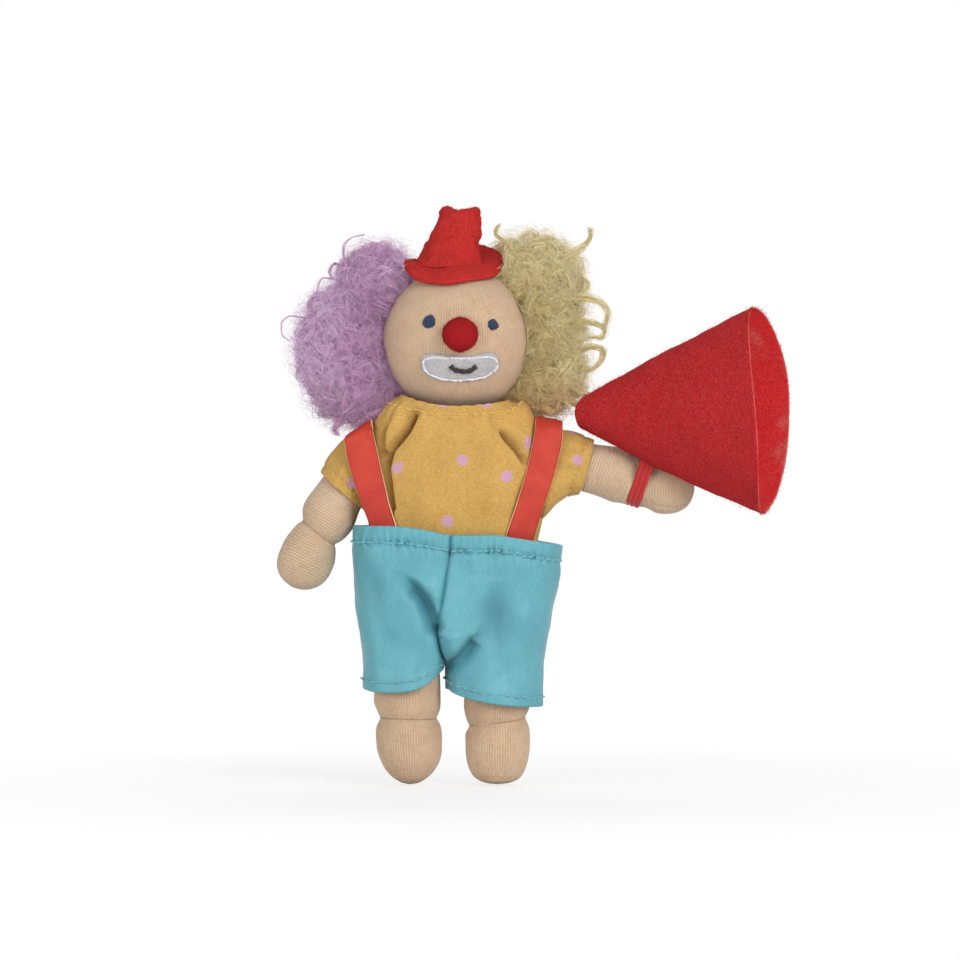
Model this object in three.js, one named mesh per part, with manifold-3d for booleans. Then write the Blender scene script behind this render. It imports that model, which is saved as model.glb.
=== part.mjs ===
// A pocket-sized clown rag doll with a felt megaphone strapped to one hand.
// Millimetres, +Z up, and the face looks along -Y. Right and left are the doll's own.
import * as THREE from "three";
import { mergeVertices } from "three/addons/utils/BufferGeometryUtils.js";
import Module from "manifold-3d";

const wasm = await Module();
wasm.setup();

// Clearances
const GAP = 0.3; // between sewn pieces that touch
const PLAY = 0.3; // between a ball end and the socket that it turns in
const SEAM_GAP = 0.3; // between two cloth edges that are sewn together
const FAR = 200; // reaches past the doll, for the blocks that cut it

// Main heights: the first is above the soles, and each other one starts from the one before it
const ANKLE_Z = 14.0;
const LEG = { toAnkle: 17.0, full: 6.7 };
const HIP_Z = ANKLE_Z + LEG.toAnkle;
const WAIST_Z = HIP_Z + 21.0;
const SHOULDER_Z = WAIST_Z + 17.3;
const HEAD_Z = SHOULDER_Z + 23.9;

// Head
const HEAD = { x: 0.3, width: 15.4, depth: 14.6, height: 15.6 };
const FACE_SIDES = 24;
const FACE_RINGS = 14;
const NOSE_R = 3.8;
const NOSE = { x: 1.1, z: 1.0, sunk: 0.9 };
const EYE = { right: [-5.75, 4.0, 1.2, 1.35], left: [7.9, 3.4, 1.05, 1.15] }; // x, z, half sizes
const EYE_PROUD = 0.5;
const MOUTH = { x: 0.85, z: -4.4, halfWidth: 7.9, height: 5.1, droop: 1.75, proud: 0.6 };
const SMILE = { x: 1.4, z: -5.0, halfWidth: 2.8, thick: 0.75, droop: 1.5, proud: 0.5 };

// Neck and torso
const NECK = { r: 5.0, bottom: SHOULDER_Z + 2.2, top: SHOULDER_Z + 7.8 };
const TORSO = { waist: 15.3, hips: 14.6, bottom: HIP_Z + 2.0, narrow: 0.6 };

// Shirt: half width, half depth and height of each ring, from its hem to the neckline
const CLOTH = 0.7;
const SHIRT_RINGS = [
  [17.2, 9.1, WAIST_Z - 8.0],
  [17.8, 9.6, WAIST_Z],
  [18.6, 10.2, SHOULDER_Z - 9.3],
  [18.8, 10.3, SHOULDER_Z - 1.3],
  [18.5, 10.2, SHOULDER_Z + 3.2],
  [17.0, 10.0, SHOULDER_Z + 5.9],
  [14.8, 10.0, SHOULDER_Z + 7.7],
  [12.6, 10.3, SHOULDER_Z + 8.9],
  [11.6, 10.6, SHOULDER_Z + 9.7],
];
const SHIRT_SQUARE = 2.6; // 2 is an ellipse, and more is squarer
const SHIRT_SIDES = 26;
const SHIRT_FOLD = { depth: 0.4, count: 5 };

// Arms: an arm hangs along -Z from its shoulder before it is turned outwards
const SHOULDER = { x: 19.1, ball: 4.7 };
const ARM = { toWrist: 19.2, root: 4.6, full: 5.8, fullAt: 14.0 };
const ARM_TURN = { right: 30, left: -71.6 }; // degrees from hanging
const ARM_RANGE = { right: [-1, 75], left: [-35, 5] }; // degrees lower and higher than that
const HAND_TURN = { right: -8, left: -11.4 }; // degrees from the arm
const WRIST = { ball: 3.1, end: 3.75 };
const HAND = { full: 5.6, fullAt: 6.8, tip: 12.4 };
const SLEEVE = { start: -1.2, hem: { right: 9.2, left: 8.8 }, root: 5.8, mouth: 5.5 };
const THREAD_R = 0.3;

// Legs: a leg hangs along -Z from its hip
const HIP = { right: -9.8, left: 8.9, ball: 6.2 };
const ANKLE = { ball: 5.2, end: 6.0 };
const FOOT = { full: 6.8, fullAt: 6.6, flat: 3.1, deepen: 0.7 }; // deepen: 1 keeps its full depth to the sole
const SIT = 90; // degrees that a leg swings forward
const KICK = 20; // degrees that it swings back

// Shorts: middle, half width, half depth, height and sideways slope of each ring, from the waist down
const SEAT_RINGS = [
  [0.9, 21.8, 12.9, WAIST_Z + 0.2, 0.095],
  [0.6, 21.5, 12.7, WAIST_Z - 4.0, 0.085],
  [0.2, 21.0, 12.2, HIP_Z + 11.0, 0.065],
  [-0.4, 19.9, 11.5, HIP_Z + 3.0, 0.03],
  [-0.5, 19.2, 11.0, HIP_Z - 3.0, 0],
  [-0.5, 19.1, 10.6, HIP_Z - 7.0, 0],
];
const LEG_RINGS = {
  right: [
    [-10.7, 8.6, 10.6, HIP_Z - 3.0, 0],
    [-10.7, 8.6, 9.9, HIP_Z - 7.0, 0],
    [-10.7, 8.6, 9.4, HIP_Z - 11.1, 0],
  ],
  left: [
    [8.2, 9.8, 10.6, HIP_Z - 3.0, 0],
    [8.2, 9.8, 9.9, HIP_Z - 7.0, 0],
    [8.1, 9.7, 9.4, HIP_Z - 12.9, 0.17],
  ],
};
const SHORTS_SQUARE = 3.2;
const LEG_SQUARE = 2.4;
const SHORTS_SEAM_X = -1.9;
const SHORTS_SIDES = 24;

// Braces
const BRACE = { width: 5.3, thick: 0.7, tuck: 5.5, lean: 25 }; // it leans with the belly at the waist
const BRACE_SHOULDER = { x: SHOULDER.x + 0.7, front: SHOULDER_Z - 0.3, top: SHOULDER_Z + 7.5 };
const BRACE_WAIST_X = { right: 14.6, left: 13.1 };

// Hat
const FELT = 0.9;
const BRIM = { r: 10.2, hole: 4.6, lift: { right: 3.4, left: 3.9 }, x: -0.6 };
const CROWN = { base: 6.7, waist: 4.9, top: 4.3, height: 12.2, lean: 1.4, dent: 1.0 };
const HAT_SIDES = 20;

// Megaphone: a felt cone that starts at its virtual apex
const CONE = {
  apex: [SHOULDER.x, 0.7, SHOULDER_Z + 8.0],
  small: 7.0,
  big: 45.9,
  bulge: 3.2,
  halfHeight: 21.4,
  halfDepth: 13.0,
  smallDepth: 2.7,
  rise: 2, // degrees
  forward: 16, // degrees
};
const CONE_SIDES = 32;
const BAND = { width: 2.9, thick: 0.6, reach: 4.6, at: -35 }; // at: its seam, in degrees round the arm

const rad = THREE.MathUtils.degToRad;
const v2 = (x, y) => new THREE.Vector2(x, y);
const v3 = (x, y, z) => new THREE.Vector3(x, y, z);
const lerp = THREE.MathUtils.lerp;

// Solids

// The closed solid of a geometry, with its shared points merged and its faces pointing out.
function solid(geometry) {
  const bare = geometry.index ? geometry.toNonIndexed() : geometry.clone();
  for (const name of Object.keys(bare.attributes)) {
    if (name !== "position") bare.deleteAttribute(name);
  }
  const merged = mergeVertices(bare, 1e-4);
  const faces = [];
  for (let i = 0; i < merged.index.count; i += 3) {
    const [a, b, c] = [0, 1, 2].map((k) => merged.index.getX(i + k));
    if (a !== b && b !== c && c !== a) faces.push(a, b, c);
  }
  const build = (triVerts) =>
    new wasm.Manifold(
      new wasm.Mesh({ numProp: 3, vertProperties: merged.attributes.position.array, triVerts }),
    );
  const made = build(new Uint32Array(faces));
  return made.volume() > 0 ? made : build(new Uint32Array(faces).reverse());
}

// A flat-shaded geometry of a solid.
function geometryOf(made) {
  const mesh = made.getMesh();
  const points = new Float32Array(mesh.numVert * 3);
  for (let i = 0; i < mesh.numVert; i++) {
    points.set(mesh.vertProperties.subarray(i * mesh.numProp, i * mesh.numProp + 3), i * 3);
  }
  return new THREE.BufferGeometry()
    .setAttribute("position", new THREE.BufferAttribute(points, 3))
    .setIndex(new THREE.BufferAttribute(mesh.triVerts, 1));
}

// A solid moved by a matrix made from a turn about Y, in degrees, and then a shift.
function placed(made, degrees, x, y, z) {
  const m = new THREE.Matrix4().makeRotationY(rad(degrees)).setPosition(x, y, z);
  return made.transform(m.elements);
}

// A closed body through rings of points. It ends in a fan at each end, or closes on its first ring.
function loft(rings, closesOnItself = false) {
  const count = rings[0].length;
  const points = rings.flat();
  const faces = [];
  const spans = closesOnItself ? rings.length : rings.length - 1;
  for (let i = 0; i < spans; i++) {
    const a = i * count;
    const b = ((i + 1) % rings.length) * count;
    for (let k = 0; k < count; k++) {
      const n = (k + 1) % count;
      faces.push(a + k, a + n, b + n, a + k, b + n, b + k);
    }
  }
  if (!closesOnItself) {
    for (const [ring, start, turned] of [[rings[0], 0, true], [rings.at(-1), spans * count, false]]) {
      const middle = ring.reduce((sum, p) => sum.add(p), v3(0, 0, 0)).divideScalar(count);
      const centre = points.push(middle) - 1;
      for (let k = 0; k < count; k++) {
        const n = (k + 1) % count;
        faces.push(centre, start + (turned ? n : k), start + (turned ? k : n));
      }
    }
  }
  const geometry = new THREE.BufferGeometry().setFromPoints(points);
  geometry.setIndex(faces);
  return solid(geometry);
}

// A surface of revolution about Z through a smooth curve of [radius, height] points, which ends on the axis.
function spun(outline, sides, steps) {
  const curve = new THREE.SplineCurve(outline.map(([r, z]) => v2(r, z)));
  const profile = curve.getPoints(steps).map((p) => v2(Math.max(p.x, 0), p.y));
  profile[0].x = 0;
  profile.at(-1).x = 0;
  return new THREE.LatheGeometry(profile, sides).rotateX(Math.PI / 2);
}

function turned(outline, sides, steps) {
  return solid(spun(outline, sides, steps));
}

// A round rod of that radius and length, which hangs from the origin or starts above it.
function rod(r, length, sides, above = 0) {
  const upright = new THREE.CylinderGeometry(r, r, length, sides).rotateX(Math.PI / 2);
  return upright.translate(0, 0, above - length / 2);
}

// All space to one side of a plane across X.
function sideOf(x, sign) {
  return solid(new THREE.BoxGeometry(FAR, FAR, FAR).translate(x + (sign * FAR) / 2, 0, 0));
}

// All space below a height.
function below(z) {
  return solid(new THREE.BoxGeometry(FAR, FAR, FAR).translate(0, 0, z - FAR / 2));
}

// The largest of the bodies that a cut leaves.
function largest(made) {
  return made.decompose().sort((a, b) => b.volume() - a.volume())[0];
}

// A ball of radius r about a point.
function ball(r, x, y, z, sides = 16) {
  const sphere = new THREE.SphereGeometry(r, sides, Math.round(sides * 0.7)).rotateX(Math.PI / 2);
  return solid(sphere.translate(x, y, z));
}

// The point at angle t of a rounded rectangle with those half sizes.
function squared(a, b, t, power) {
  const c = Math.cos(t);
  const s = Math.sin(t);
  return [a * Math.sign(c) * Math.abs(c) ** (2 / power), b * Math.sign(s) * Math.abs(s) ** (2 / power)];
}

// Half depth of a rounded rectangle at a distance x from its middle.
function depthAt(a, b, x, power) {
  return b * Math.max(1 - Math.abs(x / a) ** power, 0) ** (1 / power);
}

function material(color, roughness = 0.9) {
  return new THREE.MeshStandardMaterial({ color, roughness, metalness: 0 });
}

const skin = material(0xd2b48c);
const yellowCloth = material(0xdba94f);
const blueCloth = material(0x5cb5c4, 0.6);
const redLeather = material(0xd4453a, 0.5);
const redFelt = material(0xb8282c, 1);
const purpleHair = material(0xa988b4, 1);
const greenHair = material(0xb0a878, 1);
const blueThread = material(0x24577a, 0.6);
const whiteFelt = material(0xd8d8e0, 0.8);
const brownThread = material(0x4a2a2c, 0.6);
const redElastic = material(0xb32b30, 0.8);

function piece(name, made, finish, parent) {
  const mesh = new THREE.Mesh(geometryOf(made), finish);
  mesh.name = name;
  parent.add(mesh);
  return mesh;
}

function groupAt(x, y, z, parent, degrees = 0) {
  const group = new THREE.Group();
  group.position.set(x, y, z);
  group.rotation.y = rad(degrees);
  parent.add(group);
  return group;
}

// Head, face and nose

// The stuffed ball of the head, grown all round by an offset.
function headBall(offset) {
  return solid(
    new THREE.SphereGeometry(1, FACE_SIDES, FACE_RINGS)
      .rotateX(Math.PI / 2)
      .scale(HEAD.width + offset, HEAD.depth + offset, HEAD.height + offset),
  );
}

// A sewn-on shape that follows the front of the head, between two distances from it.
function onFace(shape, from, to) {
  const slab = new THREE.ExtrudeGeometry(shape, { depth: FAR, bevelEnabled: false, curveSegments: 10 });
  return solid(slab.rotateX(Math.PI / 2)).intersect(headBall(to)).subtract(headBall(from));
}

// A crescent with round ends that bows down by droop.
function crescent({ x, z, halfWidth, thick, droop }) {
  const steps = 12;
  const outline = [];
  const edge = (side) => {
    for (let i = 0; i <= steps; i++) {
      const s = side * lerp(-1, 1, i / steps);
      const half = (thick / 2) * Math.sqrt(Math.max(1 - s ** 4, 0));
      outline.push(v2(x + halfWidth * s, z - droop * (1 - s * s) - side * half));
    }
  };
  edge(1);
  edge(-1);
  return new THREE.Shape(outline.filter((p, i) => i === 0 || p.distanceTo(outline[i - 1]) > 1e-3));
}

function addHead(doll) {
  const head = groupAt(HEAD.x, 0, HEAD_Z, doll);
  piece("head", headBall(0), skin, head);
  const front = -HEAD.depth * Math.sqrt(1 - (NOSE.x / HEAD.width) ** 2 - (NOSE.z / HEAD.height) ** 2);
  const nose = ball(NOSE_R, NOSE.x, front - NOSE_R + NOSE.sunk, NOSE.z, 16);
  piece("nose", nose.subtract(headBall(GAP)), redFelt, head);
  for (const side of ["right", "left"]) {
    const [x, z, a, b] = EYE[side];
    const shape = new THREE.Shape().absellipse(x, z, a, b, 0, 2 * Math.PI, false, 0);
    piece(`eye_${side}`, onFace(shape, GAP, GAP + EYE_PROUD), blueThread, head);
  }
  const patchTop = GAP + MOUTH.proud;
  const patch = crescent({ ...MOUTH, thick: MOUTH.height });
  piece("mouth_patch", onFace(patch, GAP, patchTop).subtract(nose), whiteFelt, head);
  piece("smile", onFace(crescent(SMILE), patchTop + GAP, patchTop + GAP + SMILE.proud), brownThread, head);
  return head;
}

// Hat

// How high the top of the head stands at a distance from the hat's middle.
function domeAt(x, y) {
  const inside = 1 - ((x + BRIM.x) / (HEAD.width + GAP)) ** 2 - (y / (HEAD.depth + GAP)) ** 2;
  return (HEAD.height + GAP) * Math.sqrt(inside);
}

// A point of the brim's underside, which lies on the head in front and behind and curls up at both sides.
function brimPoint(r, t, up) {
  const x = r * Math.cos(t);
  const y = r * Math.sin(t);
  const lift = x < 0 ? BRIM.lift.right : BRIM.lift.left;
  const curl = lift * Math.cos(t) ** 2 * Math.max((r - BRIM.hole) / (BRIM.r - BRIM.hole), 0) ** 1.5;
  return v3(BRIM.x + x, y, domeAt(x, y) + curl + up);
}

function brim() {
  const ring = (r, up) =>
    Array.from({ length: HAT_SIDES }, (_, k) => brimPoint(r, (2 * Math.PI * k) / HAT_SIDES, up));
  const radii = [BRIM.hole, lerp(BRIM.hole, BRIM.r, 0.35), lerp(BRIM.hole, BRIM.r, 0.7), BRIM.r];
  const under = radii.map((r) => ring(r, 0));
  const over = radii.map((r) => ring(r, FELT)).reverse();
  return loft([...under, ...over], true);
}

// The crown: flared at its foot, leaning to one side, with a pinched and dented top.
function crown() {
  const ring = (share, inset) =>
    Array.from({ length: HAT_SIDES }, (_, k) => {
      const t = (2 * Math.PI * k) / HAT_SIDES;
      const flare = CROWN.waist + (CROWN.base - CROWN.waist) * (1 - share) ** 2.2;
      const r = (share < 0.5 ? flare : lerp(flare, CROWN.top, 2 * share - 1)) - inset;
      const pinch = 1 - 0.16 * share * Math.sin(t) ** 2;
      const foot = domeAt(CROWN.base * Math.cos(t), CROWN.base * Math.sin(t)) + FELT + GAP;
      const wave = 0.35 * share * Math.cos(2 * t);
      return v3(
        BRIM.x + r * Math.cos(t) * pinch + CROWN.lean * share,
        r * Math.sin(t) * pinch,
        foot * (1 - share) + (domeAt(0, 0) + CROWN.height) * share + wave - (share > 0.9 ? inset : 0),
      );
    });
  const shares = [0, 0.12, 0.28, 0.5, 0.75, 0.94];
  const dented = (inset) => {
    const rim = ring(1, inset + 0.5);
    const middle = v3(BRIM.x + CROWN.lean, 0, domeAt(0, 0) + CROWN.height - inset - CROWN.dent);
    return [rim, rim.map((p) => p.clone().lerp(middle, 0.55).setZ(lerp(p.z, middle.z, 0.8)))];
  };
  const inner = [...shares.map((s) => ring(s, FELT)), ...dented(FELT)].reverse();
  const outer = [...shares.map((s) => ring(s, 0)), ...dented(0)];
  return loft([...inner, ...outer]);
}

function addHat(head) {
  const brimSolid = brim();
  const curled = brimSolid.translate([0, 0, GAP]);
  piece("hat_brim", brimSolid, redFelt, head);
  const crownSolid = largest(crown().subtract(brimSolid).subtract(curled).subtract(headBall(GAP)));
  piece("hat_crown", crownSolid, redFelt, head);
  return brimSolid.add(crownSolid);
}

// Hair

// A tuft of curls: a lumpy ball with those half sizes.
function tuft(x, y, z, a, b, c, phase) {
  const lump = new THREE.SphereGeometry(1, 16, 10).rotateX(Math.PI / 2);
  const at = lump.attributes.position;
  for (let i = 0; i < at.count; i++) {
    const p = v3().fromBufferAttribute(at, i);
    const turn = Math.atan2(p.y, p.x);
    const curl = 1 + 0.05 * Math.sin(4 * turn + phase) * Math.cos(5 * p.z + phase) * (1 - p.z * p.z);
    at.setXYZ(i, x + a * p.x * curl, y + b * p.y * curl, z + c * p.z * curl);
  }
  return solid(lump);
}

// What the hair clears as the head turns and nods: the shoulders, the braces and the megaphone's small end.
function sweptBelowHair(outline) {
  const low = outline[0][1] - FAR;
  const rim = outline.at(-1)[0];
  const points = [v2(0, low), v2(rim, low), ...outline.map(([r, z]) => v2(r, z)).reverse()];
  return solid(new THREE.LatheGeometry(points, 36).rotateX(Math.PI / 2));
}

const HAIR = {
  purple: {
    side: -1,
    tufts: [[-19.4, 5.5, 1.4, 14.4, 10.5, 17.4, 0.4], [-9.5, 9.5, -0.5, 9.6, 8.4, 13.6, 1.7]],
    below: [[0, -10.2], [12, -10.6], [16, -13.0], [22.5, -14.4], [26, -15.6], [60, -15.6]],
  },
  green: {
    side: 1,
    tufts: [[18.0, 5.5, 4.2, 13.6, 10.5, 17.4, 2.1], [9.5, 9.5, -0.5, 9.6, 8.4, 13.6, 0.9]],
    below: [[0, -10.2], [12, -10.6], [16, -13.0], [20, -13.4], [25, -11.0], [29, -8.4], [33, -4.0], [60, 8]],
  },
};

function addHair(head, hat) {
  const ways = [[0, 0, -GAP], [GAP, 0, 0], [-GAP, 0, 0]];
  const hatRoom = ways.reduce((sum, way) => sum.add(hat.translate(way)), hat);
  for (const [colour, finish] of [["purple", purpleHair], ["green", greenHair]]) {
    const { side, tufts, below } = HAIR[colour];
    const hair = tufts
      .map((numbers) => tuft(...numbers))
      .reduce((a, b) => a.add(b))
      .intersect(sideOf((side * SEAM_GAP) / 2, side))
      .subtract(headBall(GAP))
      .subtract(hatRoom)
      .subtract(sweptBelowHair(below));
    piece(`hair_${colour}`, largest(hair), finish, head);
  }
}

// Shirt, torso and neck

// A ring of the shirt's outside, drawn in by an inset, with folds that die out towards the neckline.
function shirtRing([a, b, z], inset, step) {
  return Array.from({ length: SHIRT_SIDES }, (_, k) => {
    const t = (2 * Math.PI * k) / SHIRT_SIDES;
    const fade = Math.sin(Math.PI * Math.min(step / (SHIRT_RINGS.length - 1), 1));
    const fold = SHIRT_FOLD.depth * fade * Math.sin(SHIRT_FOLD.count * t) * Math.abs(Math.sin(t));
    const [x, y] = squared(a - inset - fold, b - inset - fold, t, SHIRT_SQUARE);
    return v3(x, y, z);
  });
}

function shirtShell() {
  const outer = SHIRT_RINGS.map((ring, i) => shirtRing(ring, 0, i));
  const inner = SHIRT_RINGS.map((ring, i) => {
    const slope = i > 4 ? CLOTH * 0.7 : 0;
    return shirtRing([ring[0], ring[1], ring[2] - slope], i > 6 ? CLOTH * 0.6 : CLOTH, i);
  });
  return loft([...outer, ...inner.reverse()], true);
}

// The stuffed torso fills the shirt's shoulders and narrows to the hips.
function torsoSolid() {
  const inside = CLOTH + GAP + SHIRT_FOLD.depth;
  const top = SHIRT_RINGS.slice(3, 8).map(([a, b, z], i) =>
    shirtRing([a, b, z - (i > 0 ? CLOTH + GAP : 0)], inside + TORSO.narrow, SHIRT_RINGS.length - 1),
  );
  const low = [
    [TORSO.hips * 0.55, 4.6, TORSO.bottom],
    [TORSO.hips * 0.86, 6.6, TORSO.bottom + 1.6],
    [TORSO.hips, 7.5, TORSO.bottom + 6],
    [TORSO.waist, 7.9, WAIST_Z],
    [TORSO.waist + 0.6, 8.5, SHOULDER_Z - 9.3],
  ].map((ring) => shirtRing(ring, 0, SHIRT_RINGS.length - 1));
  return loft([...low, ...top]);
}

// The room that a leg sweeps from its kick to its seat.
function hipRoom(x) {
  const room = LEG.full + PLAY;
  let swept = ball(HIP.ball + PLAY, x, 0, HIP_Z);
  for (const share of [0, 0.5, 1]) {
    const thigh = rod(room, LEG.toAnkle, 12, -1).rotateX(-rad(lerp(-KICK, SIT, share)));
    swept = swept.add(solid(thigh.translate(x, 0, HIP_Z)));
  }
  return swept;
}

// The room that an arm of that radius sweeps between its lowest and its highest turn.
function armRoom(side, r) {
  const x = side === "right" ? -SHOULDER.x : SHOULDER.x;
  const away = Math.sign(ARM_TURN[side]);
  const [low, high] = ARM_RANGE[side];
  let swept = ball(r, x, 0, SHOULDER_Z, 16);
  for (const share of [0, 0.5, 1]) {
    const arm = solid(rod(r, ARM.toWrist, 16));
    swept = swept.add(placed(arm, ARM_TURN[side] + away * lerp(low, high, share), x, 0, SHOULDER_Z));
  }
  return swept;
}

function addBody(doll) {
  const neckRoom = solid(rod(NECK.r + PLAY, FAR, 28, NECK.bottom - PLAY + FAR));
  let torso = torsoSolid().subtract(neckRoom).subtract(headRoom());
  for (const side of ["right", "left"]) {
    torso = torso.subtract(armRoom(side, ARM.full + PLAY));
  }
  torso = torso.subtract(hipRoom(HIP.right)).subtract(hipRoom(HIP.left));
  piece("torso", largest(torso), skin, doll);

  const waist = (NECK.bottom + NECK.top) / 2;
  const outline = [
    [0, NECK.bottom],
    [NECK.r * 0.9, NECK.bottom],
    [NECK.r, waist - 1],
    [NECK.r * 0.86, waist + 1],
    [NECK.r * 0.8, NECK.top],
    [0, NECK.top],
  ];
  const neck = turned(outline, 18, 10);
  piece("neck", neck, skin, groupAt(0, 0, 0, doll));
}

// The room that the head's ball sweeps as it nods.
function headRoom() {
  return headBall(PLAY).translate([HEAD.x, 0, HEAD_Z]);
}

function addShirt(doll) {
  let shirt = shirtShell().subtract(headRoom());
  for (const side of ["right", "left"]) {
    shirt = shirt.subtract(armRoom(side, SLEEVE.root + CLOTH + SEAM_GAP));
  }
  piece("shirt_body", largest(shirt), yellowCloth, doll);
}

// Arms, sleeves and hands

// A limb with a ball at its root, a flat rim, and a socket for the next ball at its far end.
function limb(ballR, outline, length, nextBall, sides) {
  const [r, rim] = outline.at(-1);
  const root = [[0, ballR], [ballR * 0.7, ballR * 0.72], [ballR, 0]];
  const whole = turned([...root, ...outline, [r, rim - 2], [0, rim - 3]], sides, 14);
  return whole.subtract(below(rim)).subtract(ball(nextBall + PLAY, 0, 0, -length, sides));
}

// A rounded end with a neck that clears the socket's rim as it bends.
function bulb(ballR, full, fullAt, tip, sides) {
  return turned(
    [
      [0, ballR], [ballR * 0.72, ballR * 0.7], [ballR, 0], [ballR * 0.94, -ballR * 0.5],
      [full * 0.8, -ballR * 0.62 - full * 0.3], [full, -fullAt], [full * 0.86, -lerp(fullAt, tip, 0.55)],
      [full * 0.5, -lerp(fullAt, tip, 0.9)], [0, -tip],
    ],
    sides, 16,
  );
}

// The thread that gathers the knit into a crease.
function thread(ballR) {
  return solid(new THREE.TorusGeometry(ballR + PLAY + THREAD_R, THREAD_R, 5, 18));
}

function addArm(doll, side, creaseWidth) {
  const sign = side === "right" ? -1 : 1;
  const arm = groupAt(sign * SHOULDER.x, 0, SHOULDER_Z, doll, ARM_TURN[side]);
  const rim = ARM.toWrist - THREAD_R - GAP;
  const outline = [
    [ARM.root, -6],
    [ARM.full, -(ARM.fullAt - creaseWidth / 2)],
    [ARM.full * 0.88, -(rim - creaseWidth - 0.6)],
    [WRIST.end, -(rim - creaseWidth / 2)],
    [WRIST.end, -rim],
  ];
  piece(`arm_${side}`, limb(SHOULDER.ball, outline, ARM.toWrist, WRIST.ball, 16), skin, arm);
  const wrist = groupAt(0, 0, -ARM.toWrist, arm, HAND_TURN[side]);
  piece(`hand_${side}`, bulb(WRIST.ball, HAND.full, HAND.fullAt, HAND.tip, 16), skin, wrist);

  return arm;
}

// A sleeve: a tube of cloth round the arm, cut off where it meets the shirt.
function addSleeve(doll, side) {
  const sign = side === "right" ? -1 : 1;
  const hem = SLEEVE.hem[side];
  const cone = (extra, from, to) => {
    const wall = [
      [SLEEVE.root + extra, -from],
      [SLEEVE.mouth + extra + 0.3, -hem * 0.6],
      [SLEEVE.mouth + extra, -to],
    ];
    const profile = [[0, -from], ...wall, [0, -to]].map(([r, z]) => v2(r, z));
    return solid(new THREE.LatheGeometry(profile, 20).rotateX(Math.PI / 2));
  };
  const cloth = cone(CLOTH, SLEEVE.start, hem).subtract(cone(0, SLEEVE.start - 1, hem + 1));
  const shirt = shirtRoom(CLOTH * 0.5).add(shirtRoom(CLOTH + GAP));
  const here = placed(cloth, ARM_TURN[side], sign * SHOULDER.x, 0, SHOULDER_Z).subtract(shirt);
  piece(`sleeve_${side}`, largest(here), yellowCloth, doll);
}

// The space inside the shirt, drawn in by an inset.
function shirtRoom(inset) {
  return loft(SHIRT_RINGS.map((ring, i) => shirtRing(ring, inset, i)));
}

// Legs and feet

function addLeg(doll, side) {
  const leg = groupAt(HIP[side], 0, HIP_Z, doll);
  const rim = LEG.toAnkle - THREAD_R - GAP;
  const outline = [[LEG.full, -7], [LEG.full, -(rim - 3)], [ANKLE.end, -rim]];
  piece(`leg_${side}`, limb(HIP.ball, outline, LEG.toAnkle, ANKLE.ball, 16), skin, leg);
  const ankle = groupAt(0, 0, -LEG.toAnkle, leg);
  piece(`foot_${side}`, foot(), skin, ankle);
  piece(`ankle_thread_${side}`, thread(ANKLE.ball), skin, ankle);
}

// A foot: a ball in the ankle's socket, and a round sack whose sole is deeper than it is wide.
function foot() {
  const outline = [
    [0, ANKLE.ball],
    [ANKLE.ball * 0.72, ANKLE.ball * 0.7],
    [ANKLE.ball, 0],
    [ANKLE.ball * 0.97, -ANKLE.ball * 0.32],
    [FOOT.full * 0.93, -(FOOT.fullAt - 3)],
    [FOOT.full, -FOOT.fullAt],
    [FOOT.full * 0.86, -lerp(FOOT.fullAt, ANKLE_Z, 0.6)],
    [FOOT.flat + 1.2, -(ANKLE_Z - 0.5)],
    [0, -(ANKLE_Z + 0.5)],
  ];
  const sack = spun(outline, 16, 14);
  const at = sack.attributes.position;
  for (let i = 0; i < at.count; i++) {
    const r = Math.hypot(at.getX(i), at.getY(i));
    if (at.getZ(i) < -FOOT.fullAt && r > 0.1) at.setY(i, at.getY(i) * (FOOT.full / r) ** FOOT.deepen);
  }
  return solid(sack).subtract(below(-ANKLE_Z));
}

// Shorts

// Straight valleys in the shorts' front
const CREASES = [
  { from: [-9.4, HIP_Z + 11.4], to: [-3.4, HIP_Z + 3.0], width: 1.6, depth: 1.2 },
  { from: [3.6, HIP_Z], to: [0.2, HIP_Z - 5.0], width: 1.6, depth: 1.0 },
];

// How far the cloth is pushed in at a point.
function creaseAt(x, y, z) {
  if (y > 0) return 0;
  return CREASES.reduce((sum, { from, to, width, depth }) => {
    const line = new THREE.Line3(v3(...from, 0), v3(...to, 0));
    const near = line.closestPointToPoint(v3(x, z, 0), true, v3());
    const share = near.distanceTo(v3(x, z, 0)) / width;
    return sum + depth * Math.exp(-share * share);
  }, 0);
}

// A ring of cloth, drawn in by an inset and moved up by a lift.
function shortsRing([x0, a, b, z, slope], power, inset, lift) {
  return Array.from({ length: SHORTS_SIDES }, (_, k) => {
    const [x, y] = squared(a - inset, b - inset, (2 * Math.PI * k) / SHORTS_SIDES, power);
    return v3(x0 + x, y + creaseAt(x0 + x, y, z), z - slope * x + lift);
  });
}

// A tube of cloth through its rings, as a solid drawn in by an inset and longer by over at both ends.
function clothTube(rings, power, inset, over) {
  const last = rings.length - 1;
  return loft(
    rings.map((ring, i) => shortsRing(ring, power, inset, i === 0 ? over : i === last ? -over : 0)).reverse(),
  );
}

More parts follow.
